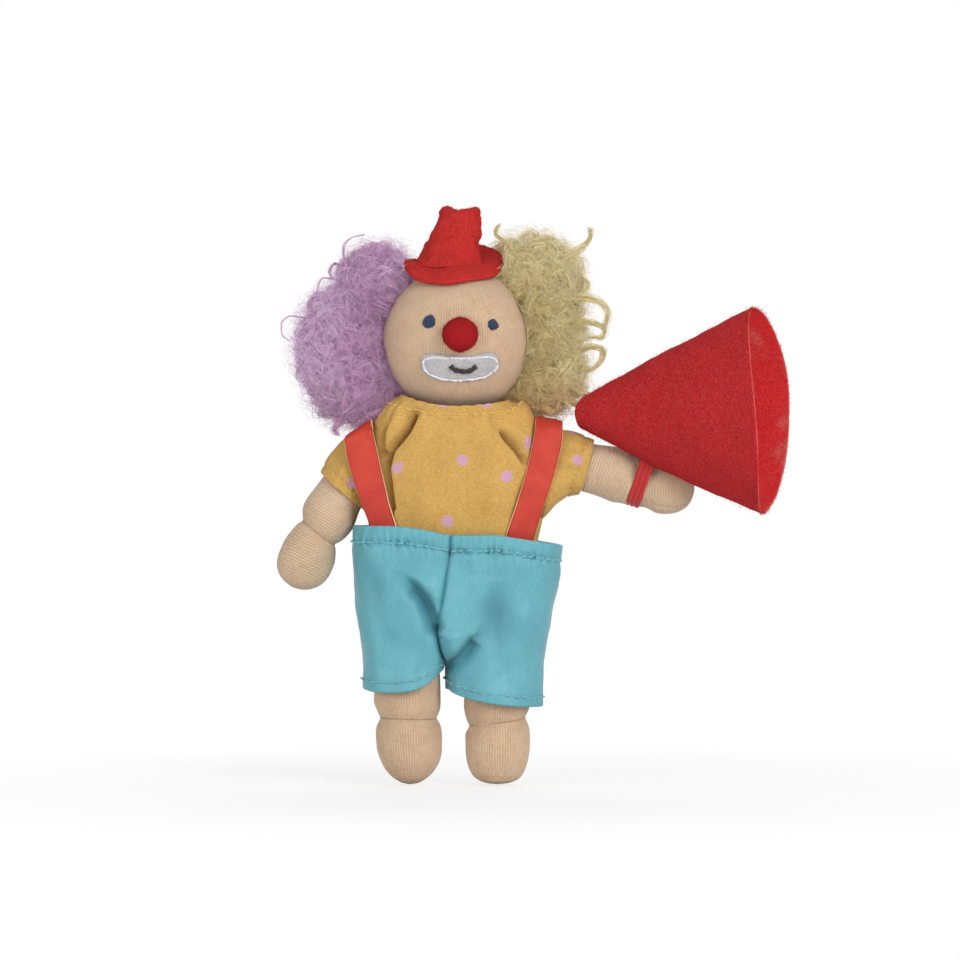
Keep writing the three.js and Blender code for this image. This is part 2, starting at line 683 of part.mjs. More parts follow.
// One half of the shorts: the cloth of its seat and of its leg, up to the centre seam.
function shortsPanel(side) {
  const sign = side === "right" ? -1 : 1;
  const half = sideOf(SHORTS_SEAM_X + (sign * SEAM_GAP) / 2, sign);
  const seat = clothTube(SEAT_RINGS, SHORTS_SQUARE, 0, 0).intersect(half);
  const outside = seat.add(clothTube(LEG_RINGS[side], LEG_SQUARE, 0, 0));
  const seatRoom = [...SEAT_RINGS.slice(0, -1), SEAT_RINGS.at(-1).with(3, SEAT_RINGS.at(-1)[3] + CLOTH)];
  const inside = clothTube(seatRoom, SHORTS_SQUARE, CLOTH, 0)
    .add(clothTube(SEAT_RINGS.slice(0, 2), SHORTS_SQUARE, CLOTH, 2))
    .add(clothTube(LEG_RINGS[side], LEG_SQUARE, CLOTH, 2));
  return largest(outside.subtract(inside));
}

// Braces

// Half depth of the shirt at a height and a distance from its middle.
function shirtDepth(x, z) {
  const i = Math.max(SHIRT_RINGS.findIndex((ring) => ring[2] >= z), 1);
  const [low, high] = [SHIRT_RINGS[i - 1], SHIRT_RINGS[i]];
  const share = THREE.MathUtils.clamp((z - low[2]) / (high[2] - low[2]), 0, 1);
  return depthAt(lerp(low[0], high[0], share), lerp(low[1], high[1], share), x, SHIRT_SQUARE);
}

// A strap from inside the front of the waistband, over the shoulder, to inside the back of it.
function brace(side) {
  const sign = side === "right" ? -1 : 1;
  const waistX = BRACE_WAIST_X[side];
  const [waistMiddle, , , top, slope] = SEAT_RINGS[0];
  const waistZ = top - slope * (sign * waistX - waistMiddle);
  const low = waistZ - BRACE.tuck;
  const sleeveR = SLEEVE.root + CLOTH + GAP;
  const stations = [];
  for (let i = 0; i <= 6; i++) {
    const z = lerp(low, BRACE_SHOULDER.front, i / 6);
    const share = Math.max((z - waistZ) / (BRACE_SHOULDER.front - waistZ), 0);
    const x = lerp(waistX, BRACE_SHOULDER.x, share);
    const lean = rad(BRACE.lean) * (1 - share);
    const edge = BRACE.width / 2;
    const clear = (u) => shirtDepth(x + u * edge * Math.cos(lean), z) + u * edge * Math.sin(lean);
    const y = Math.max(clear(-1), clear(0), clear(1), sleeveR * share) + GAP + SHIRT_FOLD.depth;
    stations.push({ x, y, z, lean });
  }
  const bend = stations.at(-1).y;
  for (const t of [30, 60, 90]) {
    stations.push({
      x: BRACE_SHOULDER.x,
      y: bend * Math.cos(rad(t)),
      z: lerp(BRACE_SHOULDER.front, BRACE_SHOULDER.top, Math.sin(rad(t))),
      lean: 0,
    });
  }
  const along = (list, face) =>
    list.map(({ x, y, z, lean }) => ({ at: v3(sign * x, face * y, z), lean: -face * sign * lean }));
  const route = [...along(stations, -1), ...along(stations.slice(0, -1).reverse(), 1)];
  const rings = route.map(({ at, lean }, i) => {
    const before = route[Math.max(i - 1, 0)].at;
    const after = route[Math.min(i + 1, route.length - 1)].at;
    const way = after.clone().sub(before).normalize();
    const across = v3(Math.cos(lean), Math.sin(lean), 0);
    const out = v3().crossVectors(way, across).normalize().multiplyScalar(-BRACE.thick);
    across.multiplyScalar(BRACE.width / 2);
    const back = [at.clone().sub(across), at.clone().add(across)];
    return [...back, back[1].clone().add(out), back[0].clone().add(out)];
  });
  return loft(rings);
}

// Megaphone

// A point of the cone's outside, drawn in by an inset, in the doll's frame.
function conePoint(share, t, inset) {
  const small = [CONE.small * Math.tan(Math.atan2(CONE.halfHeight, CONE.big)), CONE.smallDepth];
  const high = lerp(small[0], CONE.halfHeight, share) - inset;
  const deep = lerp(small[1], CONE.halfDepth, share) - inset;
  const along = lerp(CONE.small, CONE.big + CONE.bulge * Math.sin(t) ** 2, share);
  const p = v3(along, deep * Math.sin(t), high * Math.cos(t));
  return p
    .applyAxisAngle(v3(0, 1, 0), -rad(CONE.rise))
    .applyAxisAngle(v3(0, 0, 1), -rad(CONE.forward))
    .add(v3(...CONE.apex));
}

function coneRing(share, inset) {
  const step = (2 * Math.PI) / CONE_SIDES;
  return Array.from({ length: CONE_SIDES }, (_, k) => conePoint(share, k * step, inset));
}

function addMegaphone(doll) {
  const cone = loft([coneRing(0, 0), coneRing(1, 0), coneRing(1, FELT), coneRing(0, FELT)], true);
  const coneRoom = loft([coneRing(0, -GAP), coneRing(1, -GAP)]);

  // The elastic loop hugs the wrist, and its upper end is sewn to the underside of the cone.
  const inner = WRIST.end + GAP;
  const loop = (extra) =>
    new THREE.Shape(
      Array.from({ length: 36 }, (_, k) => {
        const t = (2 * Math.PI * k) / 36;
        const towardsCone = Math.max(Math.cos(t - rad(BAND.at)), 0) ** 3;
        const r = inner + extra + BAND.reach * towardsCone;
        return v2(r * Math.cos(t), r * Math.sin(t));
      }),
    );
  const ring = loop(BAND.thick);
  ring.holes.push(loop(0));
  const strip = new THREE.ExtrudeGeometry(ring, { depth: BAND.width, bevelEnabled: false });
  const band = solid(strip.translate(0, 0, -BAND.width / 2));
  const turn = rad(ARM_TURN.left);
  const wrist = v3(0, 0, -ARM.toWrist).applyAxisAngle(v3(0, 1, 0), turn).add(v3(SHOULDER.x, 0, SHOULDER_Z));
  const here = placed(band, ARM_TURN.left, wrist.x, wrist.y, wrist.z).subtract(coneRoom);
  piece("megaphone_cone", cone, redFelt, doll);
  piece("megaphone_band", largest(here), redElastic, doll);
}

// The whole doll, with the middle of its footprint at the origin

const clown = new THREE.Group();
const doll = new THREE.Group();
clown.add(doll);

const head = addHead(doll);
const hat = addHat(head);
addHair(head, hat);
addBody(doll);
addShirt(doll);
const armRight = addArm(doll, "right", THREAD_R * 2);
piece("wrist_thread_right", thread(WRIST.ball), skin, groupAt(0, 0, -ARM.toWrist, armRight));
addArm(doll, "left", BAND.width);
for (const side of ["right", "left"]) {
  addSleeve(doll, side);
  addLeg(doll, side);
  piece(`shorts_${side}`, shortsPanel(side), blueCloth, doll);
  piece(`brace_${side}`, brace(side), redLeather, doll);
}
addMegaphone(doll);

const box = new THREE.Box3().setFromObject(doll, true);
const centre = box.getCenter(v3());
doll.position.set(-centre.x, -centre.y, -box.min.z);

export default clown;
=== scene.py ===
"""Looks of the clown doll with a felt megaphone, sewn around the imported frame.

Lengths are the doll's own millimetres: X to its left hand, -Y to the front, and Z up from its soles.
"""

from __future__ import annotations

import sys

import logging
import math
from collections.abc import Sequence
from dataclasses import dataclass
from enum import Enum

import bpy
import numpy as np
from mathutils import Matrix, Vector
from numpy.typing import NDArray

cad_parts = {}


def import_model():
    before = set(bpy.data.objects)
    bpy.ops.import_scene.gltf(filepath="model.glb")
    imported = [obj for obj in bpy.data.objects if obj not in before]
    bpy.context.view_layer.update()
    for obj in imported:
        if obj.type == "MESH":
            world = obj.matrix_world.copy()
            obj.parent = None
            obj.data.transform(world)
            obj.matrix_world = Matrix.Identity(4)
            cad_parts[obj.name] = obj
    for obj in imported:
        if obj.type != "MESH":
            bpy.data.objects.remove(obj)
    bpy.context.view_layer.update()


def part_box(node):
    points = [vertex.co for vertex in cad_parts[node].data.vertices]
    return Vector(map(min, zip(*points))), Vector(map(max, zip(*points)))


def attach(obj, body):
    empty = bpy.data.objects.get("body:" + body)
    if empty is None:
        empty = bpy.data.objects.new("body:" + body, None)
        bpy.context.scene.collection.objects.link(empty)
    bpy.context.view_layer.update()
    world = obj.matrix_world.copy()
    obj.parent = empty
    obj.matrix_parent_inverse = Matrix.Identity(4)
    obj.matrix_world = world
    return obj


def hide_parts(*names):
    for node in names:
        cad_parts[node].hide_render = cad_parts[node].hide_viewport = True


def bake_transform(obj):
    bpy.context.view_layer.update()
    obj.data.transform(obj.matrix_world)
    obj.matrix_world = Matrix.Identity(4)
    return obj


Array = NDArray[np.float64]
Colour = tuple[float, float, float, float]
log = logging.getLogger("clown_doll")

MM = 0.001
TURN = 2 * math.pi
WHITE = (1.0, 1.0, 1.0, 1.0)
HEAD_MIDDLE = np.array([0.3, 0.0, 93.2])
HEAD_HALF = np.array([15.4, 14.6, 15.6])
SHOULDER_X, SHOULDER_Z = 19.1, 69.3
ARM_LENGTH = 19.2
HIP_Z = 31.0
ANKLE_Z = 14.0

# How far the knit bends softly to each side of a wrist and of an ankle.
WRIST_SOFT = 1.6
ANKLE_SOFT = 1.4

# The photograph's camera: its distance, and the middle and the width of the picture at the doll.
CAMERA_AWAY = 950.0
PICTURE_X, PICTURE_Z = 5.25, 63.84
PICTURE_WIDTH = 201.6

# A hem's rings: those round its edge, and how far inside each of the others lies, as a share of its depth.
HEM_ROUND = 6
HEM_INSIDE = (0.35, 0.7, 1.0)
HEM_ROWS = HEM_ROUND + len(HEM_INSIDE)


class Side(Enum):
    """The doll's own right and left, with the sign of X on that side."""

    RIGHT = -1
    LEFT = 1

    @property
    def label(self) -> str:
        """The word used in names."""
        return self.name.lower()


# Degrees about Y of each arm from hanging, and where each leg hangs.
ARM_TURN = {Side.RIGHT: 30.0, Side.LEFT: -71.6}
HIP_X = {Side.RIGHT: -9.8, Side.LEFT: 8.9}

# Numbers


def srgb(red: int, green: int, blue: int) -> Colour:
    """Turns screen values from 0 to 255 into a linear colour.

    Args:
        red: Red, 0 to 255.
        green: Green, 0 to 255.
        blue: Blue, 0 to 255.

    Returns:
        The linear colour with an alpha of 1.
    """
    linear = [((v / 255 + 0.055) / 1.055) ** 2.4 if v > 10 else v / 255 / 12.92 for v in (red, green, blue)]
    return (linear[0], linear[1], linear[2], 1.0)


def lumps(points: Array, size: float, seed: int) -> Array:
    """Soft noise: a sum of nine sine waves of random direction, each about size millimetres long.

    Args:
        points: Points, with the last axis of 3.
        size: Rough length of a lump.
        seed: Seed of the random directions.

    Returns:
        Values of about -1 to 1, one for each point.
    """
    rng = np.random.default_rng(seed)
    total = np.zeros(points.shape[:-1])
    for _ in range(9):
        way = rng.normal(size=3)
        way /= np.linalg.norm(way)
        total += np.sin(points @ way * (TURN / size) * rng.uniform(0.6, 1.5) + rng.uniform(0, TURN))
    return total / 4.2


def smooth(low: float, high: float, value: Array) -> Array:
    """A smooth step: 0 below low, 1 above high, and 3t^2 - 2t^3 between them."""
    t = np.clip((value - low) / (high - low), 0, 1)
    return t * t * (3 - 2 * t)


def through(stops: Sequence[Sequence[float]], at: Array) -> Array:
    """Reads a smooth curve through stops of (position, values) by monotone cubic steps.

    Args:
        stops: Rows of a position and one or more values, in rising order of position.
        at: The positions to read.

    Returns:
        The values, with a last axis as long as the number of values in a stop.
    """
    table = np.array(stops, dtype=float)
    xs, ys = table[:, 0], table[:, 1:]
    slope = np.diff(ys, axis=0) / np.diff(xs)[:, None]
    ease = np.vstack(
        [slope[:1], np.where(slope[1:] * slope[:-1] > 0, (slope[1:] + slope[:-1]) / 2, 0), slope[-1:]]
    )
    at = np.clip(at, xs[0], xs[-1])
    i = np.clip(np.searchsorted(xs, at) - 1, 0, len(xs) - 2)
    span = (xs[i + 1] - xs[i])[..., None]
    t = ((at - xs[i]) / (xs[i + 1] - xs[i]))[..., None]
    a, b = ys[i], ys[i + 1]
    return (
        a * (1 + 2 * t) * (1 - t) ** 2
        + b * t * t * (3 - 2 * t)
        + span * (ease[i] * t * (1 - t) ** 2 - ease[i + 1] * t * t * (1 - t))
    )


def turned_about_y(points: Array, degrees: float) -> Array:
    """Turns points about the Y axis by the right-hand rule."""
    c, s = math.cos(math.radians(degrees)), math.sin(math.radians(degrees))
    return points @ np.array([[c, 0, -s], [0, 1, 0], [s, 0, c]])


def squared(half_x: Array, half_y: Array, angle: Array, power: float) -> tuple[Array, Array]:
    """A rounded rectangle: x = a sgn(cos) |cos|^(2/p), and y alike with sin."""
    c, s = np.cos(angle), np.sin(angle)
    return half_x * np.sign(c) * np.abs(c) ** (2 / power), half_y * np.sign(s) * np.abs(s) ** (2 / power)


def full_turn(count: int) -> Array:
    """A row of evenly spaced angles once round a circle."""
    return np.arange(count)[None] * (TURN / count)


def joined(x: Array, y: Array, z: Array) -> Array:
    """Points from their coordinates, broadcast against each other."""
    return np.stack(np.broadcast_arrays(x, y, z), -1)


def outward(points: Array, middle: Array) -> Array:
    """Unit directions away from a middle."""
    way = points - middle
    return way / np.linalg.norm(way, axis=-1, keepdims=True)


def sideways(points: Array) -> Array:
    """Unit directions away from the Z axis."""
    return outward(points * [1, 1, 0], np.zeros(3))


def pushed(points: Array, way: Array, amount: Array) -> Array:
    """Points moved along their own directions by an amount in millimetres."""
    return points + way * amount[..., None]


def shoulder(side: Side) -> Array:
    """Where an arm is sewn on."""
    return np.array([side.value * SHOULDER_X, 0, SHOULDER_Z])


def arm_axis(side: Side) -> Array:
    """The direction in which an arm points."""
    return turned_about_y(np.array([[0, 0, -1.0]]), ARM_TURN[side])[0]


def on_head(x: Array, z: Array, proud: Array | float) -> Array:
    """Points on the front of the head's ball, a given distance outside it.

    Args:
        x: Positions across, in the doll's millimetres.
        z: Heights, in the doll's millimetres.
        proud: How far outside the ball the points lie.

    Returns:
        The points.
    """
    rx, rz = (x - HEAD_MIDDLE[0]) / HEAD_HALF[0], (z - HEAD_MIDDLE[2]) / HEAD_HALF[2]
    y = -HEAD_HALF[1] * np.sqrt(np.clip(1 - rx**2 - rz**2, 0, None))
    flat = np.stack([x, y, z], -1)
    way = (flat - HEAD_MIDDLE) / HEAD_HALF**2
    return flat + way / np.linalg.norm(way, axis=-1, keepdims=True) * np.asarray(proud)[..., None]


# Meshes


@dataclass
class Web:
    """Grids of points that become faces: count x rows x columns points, as tubes or as sheets.

    Columns run round a tube, anticlockwise as its rows advance towards the eye, so that its faces
    point outwards.
    """

    points: Array
    closed: bool = True
    capped: bool = True
    loop: bool = False
    size: tuple[float, float] = (1.0, 1.0)
    tone: Array | None = None
    chart: Array | None = None
    keep: Array | None = None
    turned: bool = False

    def __post_init__(self) -> None:
        """Gives a single grid its count of one."""
        if self.points.ndim == 3:
            self.points = self.points[None]

    def declare(
        self, width: float,
    ) -> None:
        """Works out this web's area as a sheet of cloth cut to a width in millimetres, and keeps nothing of
        it.
        """
        points, quads = self.parts()[:2]
        a, b, c, d = (points[quads[:, k]] for k in range(4))
        area = np.linalg.norm(np.cross(c - a, d - b), axis=1).sum() / 2
        width * MM
        area / width * MM

    def parts(self) -> tuple[Array, Array, Array, Array, Array, Array]:
        """Works out the corners, faces and surface coordinates.

        Returns:
            Points, quads, their UVs, triangles, their UVs, and one tone for each point.
        """
        count, rows, cols, _ = self.points.shape
        spans_r = rows if self.loop else rows - 1
        spans_c = cols if self.closed else cols - 1
        index = np.arange(count * rows * cols).reshape(count, rows, cols)
        r, c = np.arange(spans_r), np.arange(spans_c)
        r1, c1 = (r + 1) % rows, (c + 1) % cols
        quads = np.stack(
            [
                index[:, r][:, :, c],
                index[:, r][:, :, c1],
                index[:, r1][:, :, c1],
                index[:, r1][:, :, c],
            ],
            -1,
        ).reshape(-1, 4)
        chart = self.chart
        if chart is None:
            u, v = np.arange(
                spans_c + 1
            ) / spans_c * self.size[0], np.arange(spans_r + 1) / spans_r * self.size[1]
            chart = np.stack(np.meshgrid(u, v), -1)
        chart = chart[..., ::-1] if self.turned else chart
        around = np.stack([chart[:-1, :-1], chart[:-1, 1:], chart[1:, 1:], chart[1:, :-1]], 2)
        quad_uv = np.tile(around[None], (count, 1, 1, 1, 1)).reshape(-1, 4, 2)
        if self.keep is not None:
            kept = np.tile(self.keep[None, :, :spans_c], (count, 1, 1)).ravel()
            quads, quad_uv = quads[kept], quad_uv[kept]
        points = self.points.reshape(-1, 3)
        tone = np.zeros(count) if self.tone is None else self.tone
        tone = tone if len(tone) == len(points) else np.repeat(tone, rows * cols)
        triangles, tri_uv = np.zeros((0, 3), int), np.zeros((0, 3, 2))
        if self.capped and self.closed and not self.loop:
            centres = np.concatenate([self.points[:, 0].mean(1), self.points[:, -1].mean(1)])
            first = len(points) + np.arange(count)[:, None]
            low = np.stack([np.broadcast_to(first, (count, cols)), index[:, 0][:, c1], index[:, 0]], -1)
            high = np.stack(
                [np.broadcast_to(first + count, (count, cols)), index[:, -1], index[:, -1][:, c1]], -1
            )
            triangles = np.concatenate([low.reshape(-1, 3), high.reshape(-1, 3)])
            near = np.stack([c + 0.5, c + 1, c], -1) / cols * self.size[0]
            far = np.stack([c + 0.5, c, c + 1], -1) / cols * self.size[0]
            tri_uv = np.concatenate(
                [
                    np.stack([np.tile(near, (count, 1)), np.zeros((count * cols, 3))], -1),
                    np.stack([np.tile(far, (count, 1)), np.full((count * cols, 3), self.size[1])], -1),
                ]
            )
            tri_uv = tri_uv[..., ::-1] if self.turned else tri_uv
            points = np.concatenate([points, centres])
            ends = tone.reshape(count, rows * cols)
            tone = np.concatenate([tone, ends[:, 0], ends[:, -1]])
        return points, quads, quad_uv, triangles, tri_uv, tone


def tube(path: Array, radius: Array | float, sides: int) -> Array:
    """Sweeps a circle along paths: each ring stands square to its path.

    Args:
        path: Points of shape (count, steps, 3), or (steps, 3) for one path.
        radius: Radius at each step, broadcast against (count, steps).
        sides: Corners of the circle.

    Returns:
        Points of shape (count, steps, sides, 3).
    """
    path = path[None] if path.ndim == 2 else path
    along = np.gradient(path, axis=1)
    along /= np.linalg.norm(along, axis=-1, keepdims=True) + 1e-12
    mean = along.mean(1, keepdims=True)
    least = np.eye(3)[np.argmin(np.abs(mean), axis=-1)]
    first = np.cross(along, np.broadcast_to(least, along.shape))
    first /= np.linalg.norm(first, axis=-1, keepdims=True) + 1e-12
    second = np.cross(along, first)
    angle = full_turn(sides)[0]
    ring = first[:, :, None] * np.cos(angle)[:, None] + second[:, :, None] * np.sin(angle)[:, None]
    width = np.broadcast_to(np.asarray(radius, dtype=float), path.shape[:2])
    return path[:, :, None] + ring * width[..., None, None]


class Workshop:
    """Makes finished objects in the frame from webs in the doll's millimetres."""

    def __init__(self) -> None:
        """Finds where the doll's own origin lies in the frame, from its head."""
        low, high = (np.array(v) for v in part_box("head"))
        self.shift = (low + high) / 2 - HEAD_MIDDLE * MM

    def place(self, points: Array) -> Array:
        """Turns the doll's millimetres into the frame's metres."""
        return points * MM + self.shift

    def spot(self, x: float, y: float, z: float) -> tuple[float, float, float]:
        """One such point as a tuple."""
        p = self.place(np.array([x, y, z]))
        return (float(p[0]), float(p[1]), float(p[2]))

    def make(self, name: str, webs: Sequence[Web], finish: bpy.types.Material, slot: str) -> bpy.types.Object:
        """Puts webs into one smooth-shaded mesh object.

        Args:
            name: The piece's name.
            webs: Its surfaces.
            finish: Its material.
            slot: The record's material slot that the finish stands for; not used.

        Returns:
            The object, linked to the scene.
        """
        corner, face_uv, sizes, points, tones = [], [], [], [], []
        start = 0
        for web in webs:
            p, quads, quad_uv, triangles, tri_uv, tone = web.parts()
            corner += [quads.ravel() + start, triangles.ravel() + start]
            face_uv += [quad_uv.reshape(-1, 2), tri_uv.reshape(-1, 2)]
            sizes += [np.full(len(quads), 4), np.full(len(triangles), 3)]
            points.append(p)
            tones.append(tone)
            start += len(p)
        xyz = self.place(np.concatenate(points))
        loops, size = np.concatenate(corner), np.concatenate(sizes)
        mesh = bpy.data.meshes.new(name)
        mesh.vertices.add(len(xyz))
        mesh.vertices.foreach_set("co", xyz.ravel())
        mesh.loops.add(len(loops))
        mesh.loops.foreach_set("vertex_index", loops.astype(np.int32))
        mesh.polygons.add(len(size))
        mesh.polygons.foreach_set("loop_start", np.concatenate([[0], np.cumsum(size)[:-1]]).astype(np.int32))
        mesh.polygons.foreach_set("use_smooth", np.ones(len(size), bool))
        layer = mesh.uv_layers.new(name="UVMap")
        layer.data.foreach_set("uv", np.concatenate(face_uv).ravel())
        shade = mesh.attributes.new("tone", "FLOAT", "POINT")
        shade.data.foreach_set("value", np.concatenate(tones).astype(np.float32))
        mesh.update(calc_edges=True)
        mesh.validate()
        mesh.materials.append(finish)
        thing = bpy.data.objects.new(name, mesh)
        bpy.context.scene.collection.objects.link(thing)
        log.info("%s: %d faces", name, len(mesh.polygons))
        return thing


# Shader maths


class Wire:
    """A socket of a material, which takes part in arithmetic."""

    def __init__(self, graph: Nodes, socket: bpy.types.NodeSocket) -> None:
        """Keeps the socket and its graph."""
        self.graph = graph
        self.socket = socket

    def _math(self, operation: str, *values: Wire | float) -> Wire:
        """Adds one Math node."""
        return self.graph.node("ShaderNodeMath", {"operation": operation}, *values)

    def __add__(self, other: Wire | float) -> Wire:
        """self + other."""
        return self._math("ADD", self, other)

    def __sub__(self, other: Wire | float) -> Wire:
        """self - other."""
        return self._math("SUBTRACT", self, other)

    def __rsub__(self, other: float) -> Wire:
        """other - self."""
        return self._math("SUBTRACT", other, self)

    def __mul__(self, other: Wire | float) -> Wire:
        """self * other."""
        return self._math("MULTIPLY", self, other)

    def __truediv__(self, other: Wire | float) -> Wire:
        """self / other."""
        return self._math("DIVIDE", self, other)

    def __pow__(self, other: float) -> Wire:
        """self to the power other."""
        return self._math("POWER", self, other)

    def fraction(self) -> Wire:
        """The part after the decimal point."""
        return self._math("FRACT", self)

    def size(self) -> Wire:
        """The value without its sign."""
        return self._math("ABSOLUTE", self)

    def wave(self) -> Wire:
        """A sine of the value in turns, from 0 to 1."""
        return self._math("SINE", self * (TURN)) * 0.5 + 0.5

    def most(self, other: Wire | float) -> Wire:
        """The larger of two values."""
        return self._math("MAXIMUM", self, other)

    def step(self, low: float, high: float) -> Wire:
        """A smooth rise from 0 at low to 1 at high."""
        settings = {"interpolation_type": "SMOOTHSTEP"}
        return self.graph.node("ShaderNodeMapRange", settings, self, low, high, 0.0, 1.0)


class Nodes:
    """A node tree, emptied and filled anew."""

    def __init__(self, tree: bpy.types.NodeTree) -> None:
        """Empties the tree."""
        self.tree = tree
        tree.nodes.clear()

    def node(self, kind: str, settings: dict[str, object], *values: object, out: int | str = 0) -> Wire:
        """Adds a node.

        Args:
            kind: The node's type.
            settings: Its own settings, set first. A list under "stops" fills a colour ramp.
            values: A value or a Wire for each input in order, and None to leave one as it is.
            out: The output to read.

        Returns:
            That output.
        """
        made = self.tree.nodes.new(kind)
        for key, value in settings.items():
            if key == "stops":
                ramp = made.color_ramp
                while len(ramp.elements) < len(value):
                    ramp.elements.new(0.5)
                for element, (position, colour) in zip(ramp.elements, value):
                    element.position = position
                    element.color = colour
            else:
                setattr(made, key, value)
        sockets = [s for s in made.inputs if s.enabled]
        for socket, value in zip(sockets, values):
            self.feed(socket, value)
        outputs = [s for s in made.outputs if s.enabled]
        return Wire(self, made.outputs[out] if isinstance(out, str) else outputs[out])

    def feed(self, socket: bpy.types.NodeSocket, value: object) -> None:
        """Links a Wire to a socket, or sets the socket's own value."""
        if isinstance(value, Wire):
            self.tree.links.new(value.socket, socket)
        elif value is not None:
            socket.default_value = value

    def end(self, kind: str, surface: Wire) -> None:
        """Adds the tree's output node and links a shader to its surface."""
        self.tree.links.new(surface.socket, self.tree.nodes.new(kind).inputs["Surface"])


class Graph(Nodes):
    """The node tree of one material, with its Principled shader."""

    def __init__(self, name: str) -> None:
        """Starts an empty material."""
        self.material = bpy.data.materials.new(name)
        self.material.use_nodes = True
        super().__init__(self.material.node_tree)
        self.shader = self.tree.nodes.new("ShaderNodeBsdfPrincipled")
        self.end("ShaderNodeOutputMaterial", Wire(self, self.shader.outputs["BSDF"]))

    def set(self, **inputs: object) -> None:
        """Feeds the Principled shader's sockets, with _ for a space in their names."""
        for name, value in inputs.items():
            self.feed(self.shader.inputs[name.replace("_", " ")], value)

    def surface(self) -> tuple[Wire, Wire, Wire]:
        """The piece's UV in millimetres: the vector, u and v."""
        vector = self.node("ShaderNodeUVMap", {"uv_map": "UVMap"})
        u = self.node("ShaderNodeSeparateXYZ", {}, vector, out="X")
        v = self.node("ShaderNodeSeparateXYZ", {}, vector, out="Y")
        return vector, u, v

    def body(self) -> Wire:
        """Object coordinates, in metres."""
        return self.node("ShaderNodeTexCoord", {}, out="Object")

    def noise(self, vector: Wire, scale: float, detail: float = 2.0, rough: float = 0.5) -> Wire:
        """Noise from 0 to 1 at a number of lumps to the unit."""
        return self.node("ShaderNodeTexNoise", {"noise_dimensions": "3D"}, vector, scale, detail, rough)

    def tone(self) -> Wire:
        """The piece's own tone attribute."""
        return self.node("ShaderNodeAttribute", {"attribute_name": "tone"}, out="Fac")

    def blend(self, factor: Wire | float, first: object, second: object) -> Wire:
        """A colour between two, by a factor."""
        made = self.tree.nodes.new("ShaderNodeMix")
        made.data_type = "RGBA"
        for socket, value in ((made.inputs[0], factor), (made.inputs[6], first), (made.inputs[7], second)):
            self.feed(socket, value)
        return Wire(self, made.outputs[2])

    def bump(self, height: Wire, distance: float, strength: float = 1.0) -> None:
        """Raises the surface by a height of 0 to 1 times a distance in metres."""
        made = self.tree.nodes.new("ShaderNodeBump")
        made.inputs["Strength"].default_value = strength
        made.inputs["Distance"].default_value = distance
        self.tree.links.new(height.socket, made.inputs["Height"])
        self.tree.links.new(made.outputs["Normal"], self.shader.inputs["Normal"])


# Finishes


@dataclass(frozen=True)
class Recipe:
    """What each finish of two colours has: its name, its colour, and the darker shade of its hollows."""

    name: str
    colour: Colour
    shade: Colour


@dataclass(frozen=True)
class Knit(Recipe):
    """Fine ribbed jersey: columns of V-shaped stitches along v."""

    rib: float = 0.56
    course: float = 0.5
    line: float = 0.32

    def build(self) -> bpy.types.Material:
        """Height is a ridge across each rib, cut by slanted stitches: (1 - |2f - 1|^2) (0.6 + 0.4 wave)."""
        g = Graph(self.name)
        _, u, v = g.surface()
        drift = g.noise(g.body(), 700.0, 3.0) * 0.5
        across = (u / self.rib + drift).fraction()
        ridge = 1.0 - (across * 2.0 - 1.0).size() ** 2.0
        slant = (across * 2.0 - 1.0).size() * 0.5
        stitch = (v / self.course + slant).wave()
        height = ridge * (stitch * 0.4 + 0.6)
        heather = g.noise(g.body(), 420.0, 4.0, 0.65)
        grain = g.noise(g.body(), 2200.0, 3.0, 0.6)
        broad = g.noise(g.body(), 90.0, 2.0)
        dark = (height * self.line + heather * 0.5 + grain * 0.65 - 0.2).step(0.02, 0.8)
        colour = g.blend(dark, self.shade, self.colour)
        colour = g.blend(broad.step(0.35, 0.75) * 0.18, colour, self.shade)
        g.set(Base_Color=colour, Roughness=0.92, Sheen_Weight=0.18, Sheen_Roughness=0.5)
        g.bump(height + heather * 0.5, 0.00013)
        return g.material


@dataclass(frozen=True)
class Felt(Recipe):
    """Matted wool: tangled fibres at two sizes and pale flecks of lint; a cone's inner face gets a lighter
    colour as painted light, and its rim a paler band.
    """

    light: Colour
    # Painted light: a lighter copy of the felt's colour for the inner face of a cone, standing for the light
    # that falls inside it.
    inner: Colour | None = None

    def build(self) -> bpy.types.Material:
        """Fibres are the creases of warped noise: 1 - |2n - 1|, at 3 and at 7 lumps to the millimetre."""
        g = Graph(self.name)
        at = g.body()
        warp = g.noise(at, 700.0, 3.0, 0.6)
        moved = g.node(
            "ShaderNodeVectorMath", {"operation": "ADD"}, at,
            g.node("ShaderNodeCombineXYZ", {}, warp * 0.0016, warp * 0.0009, warp * 0.0012)
        )
        strand = 1.0 - (g.noise(moved, 2800.0, 3.0, 0.6) * 2.0 - 1.0).size()
        fine = 1.0 - (g.noise(moved, 7000.0, 2.0, 0.6) * 2.0 - 1.0).size()
        broad = g.noise(at, 160.0, 3.0)
        face: object = self.colour
        # Painted light: where the tone is 0.4 or more, on the inner face and the rim, the felt takes the
        # lighter inner colour.
        if self.inner is not None:
            face = g.blend(g.tone().step(0.1, 0.4), self.colour, self.inner)
        colour = g.blend(strand.step(0.45, 1.0) * 0.85 + 0.15, self.shade, face)
        colour = g.blend(broad.step(0.4, 0.7) * 0.22, colour, self.shade)
        # Painted light over the texture on the inner face; then a paler band along the rim, where the tone is
        # 1.
        if self.inner is not None:
            colour = g.blend(g.tone().step(0.1, 0.4) * 0.55, colour, self.inner)
            colour = g.blend(
                (g.tone() + (strand - 0.5) * 0.6 + (broad - 0.5) * 1.5).step(0.8, 1.2) * 0.5, colour,
                self.light
            )
        colour = g.blend((strand * fine).step(0.78, 0.98) * 0.3, colour, self.light)
        g.set(Base_Color=colour, Roughness=1.0, Specular_IOR_Level=0.06)
        g.bump(strand * 0.7 + fine * 0.4 + broad * 0.8, 0.00026)
        return g.material


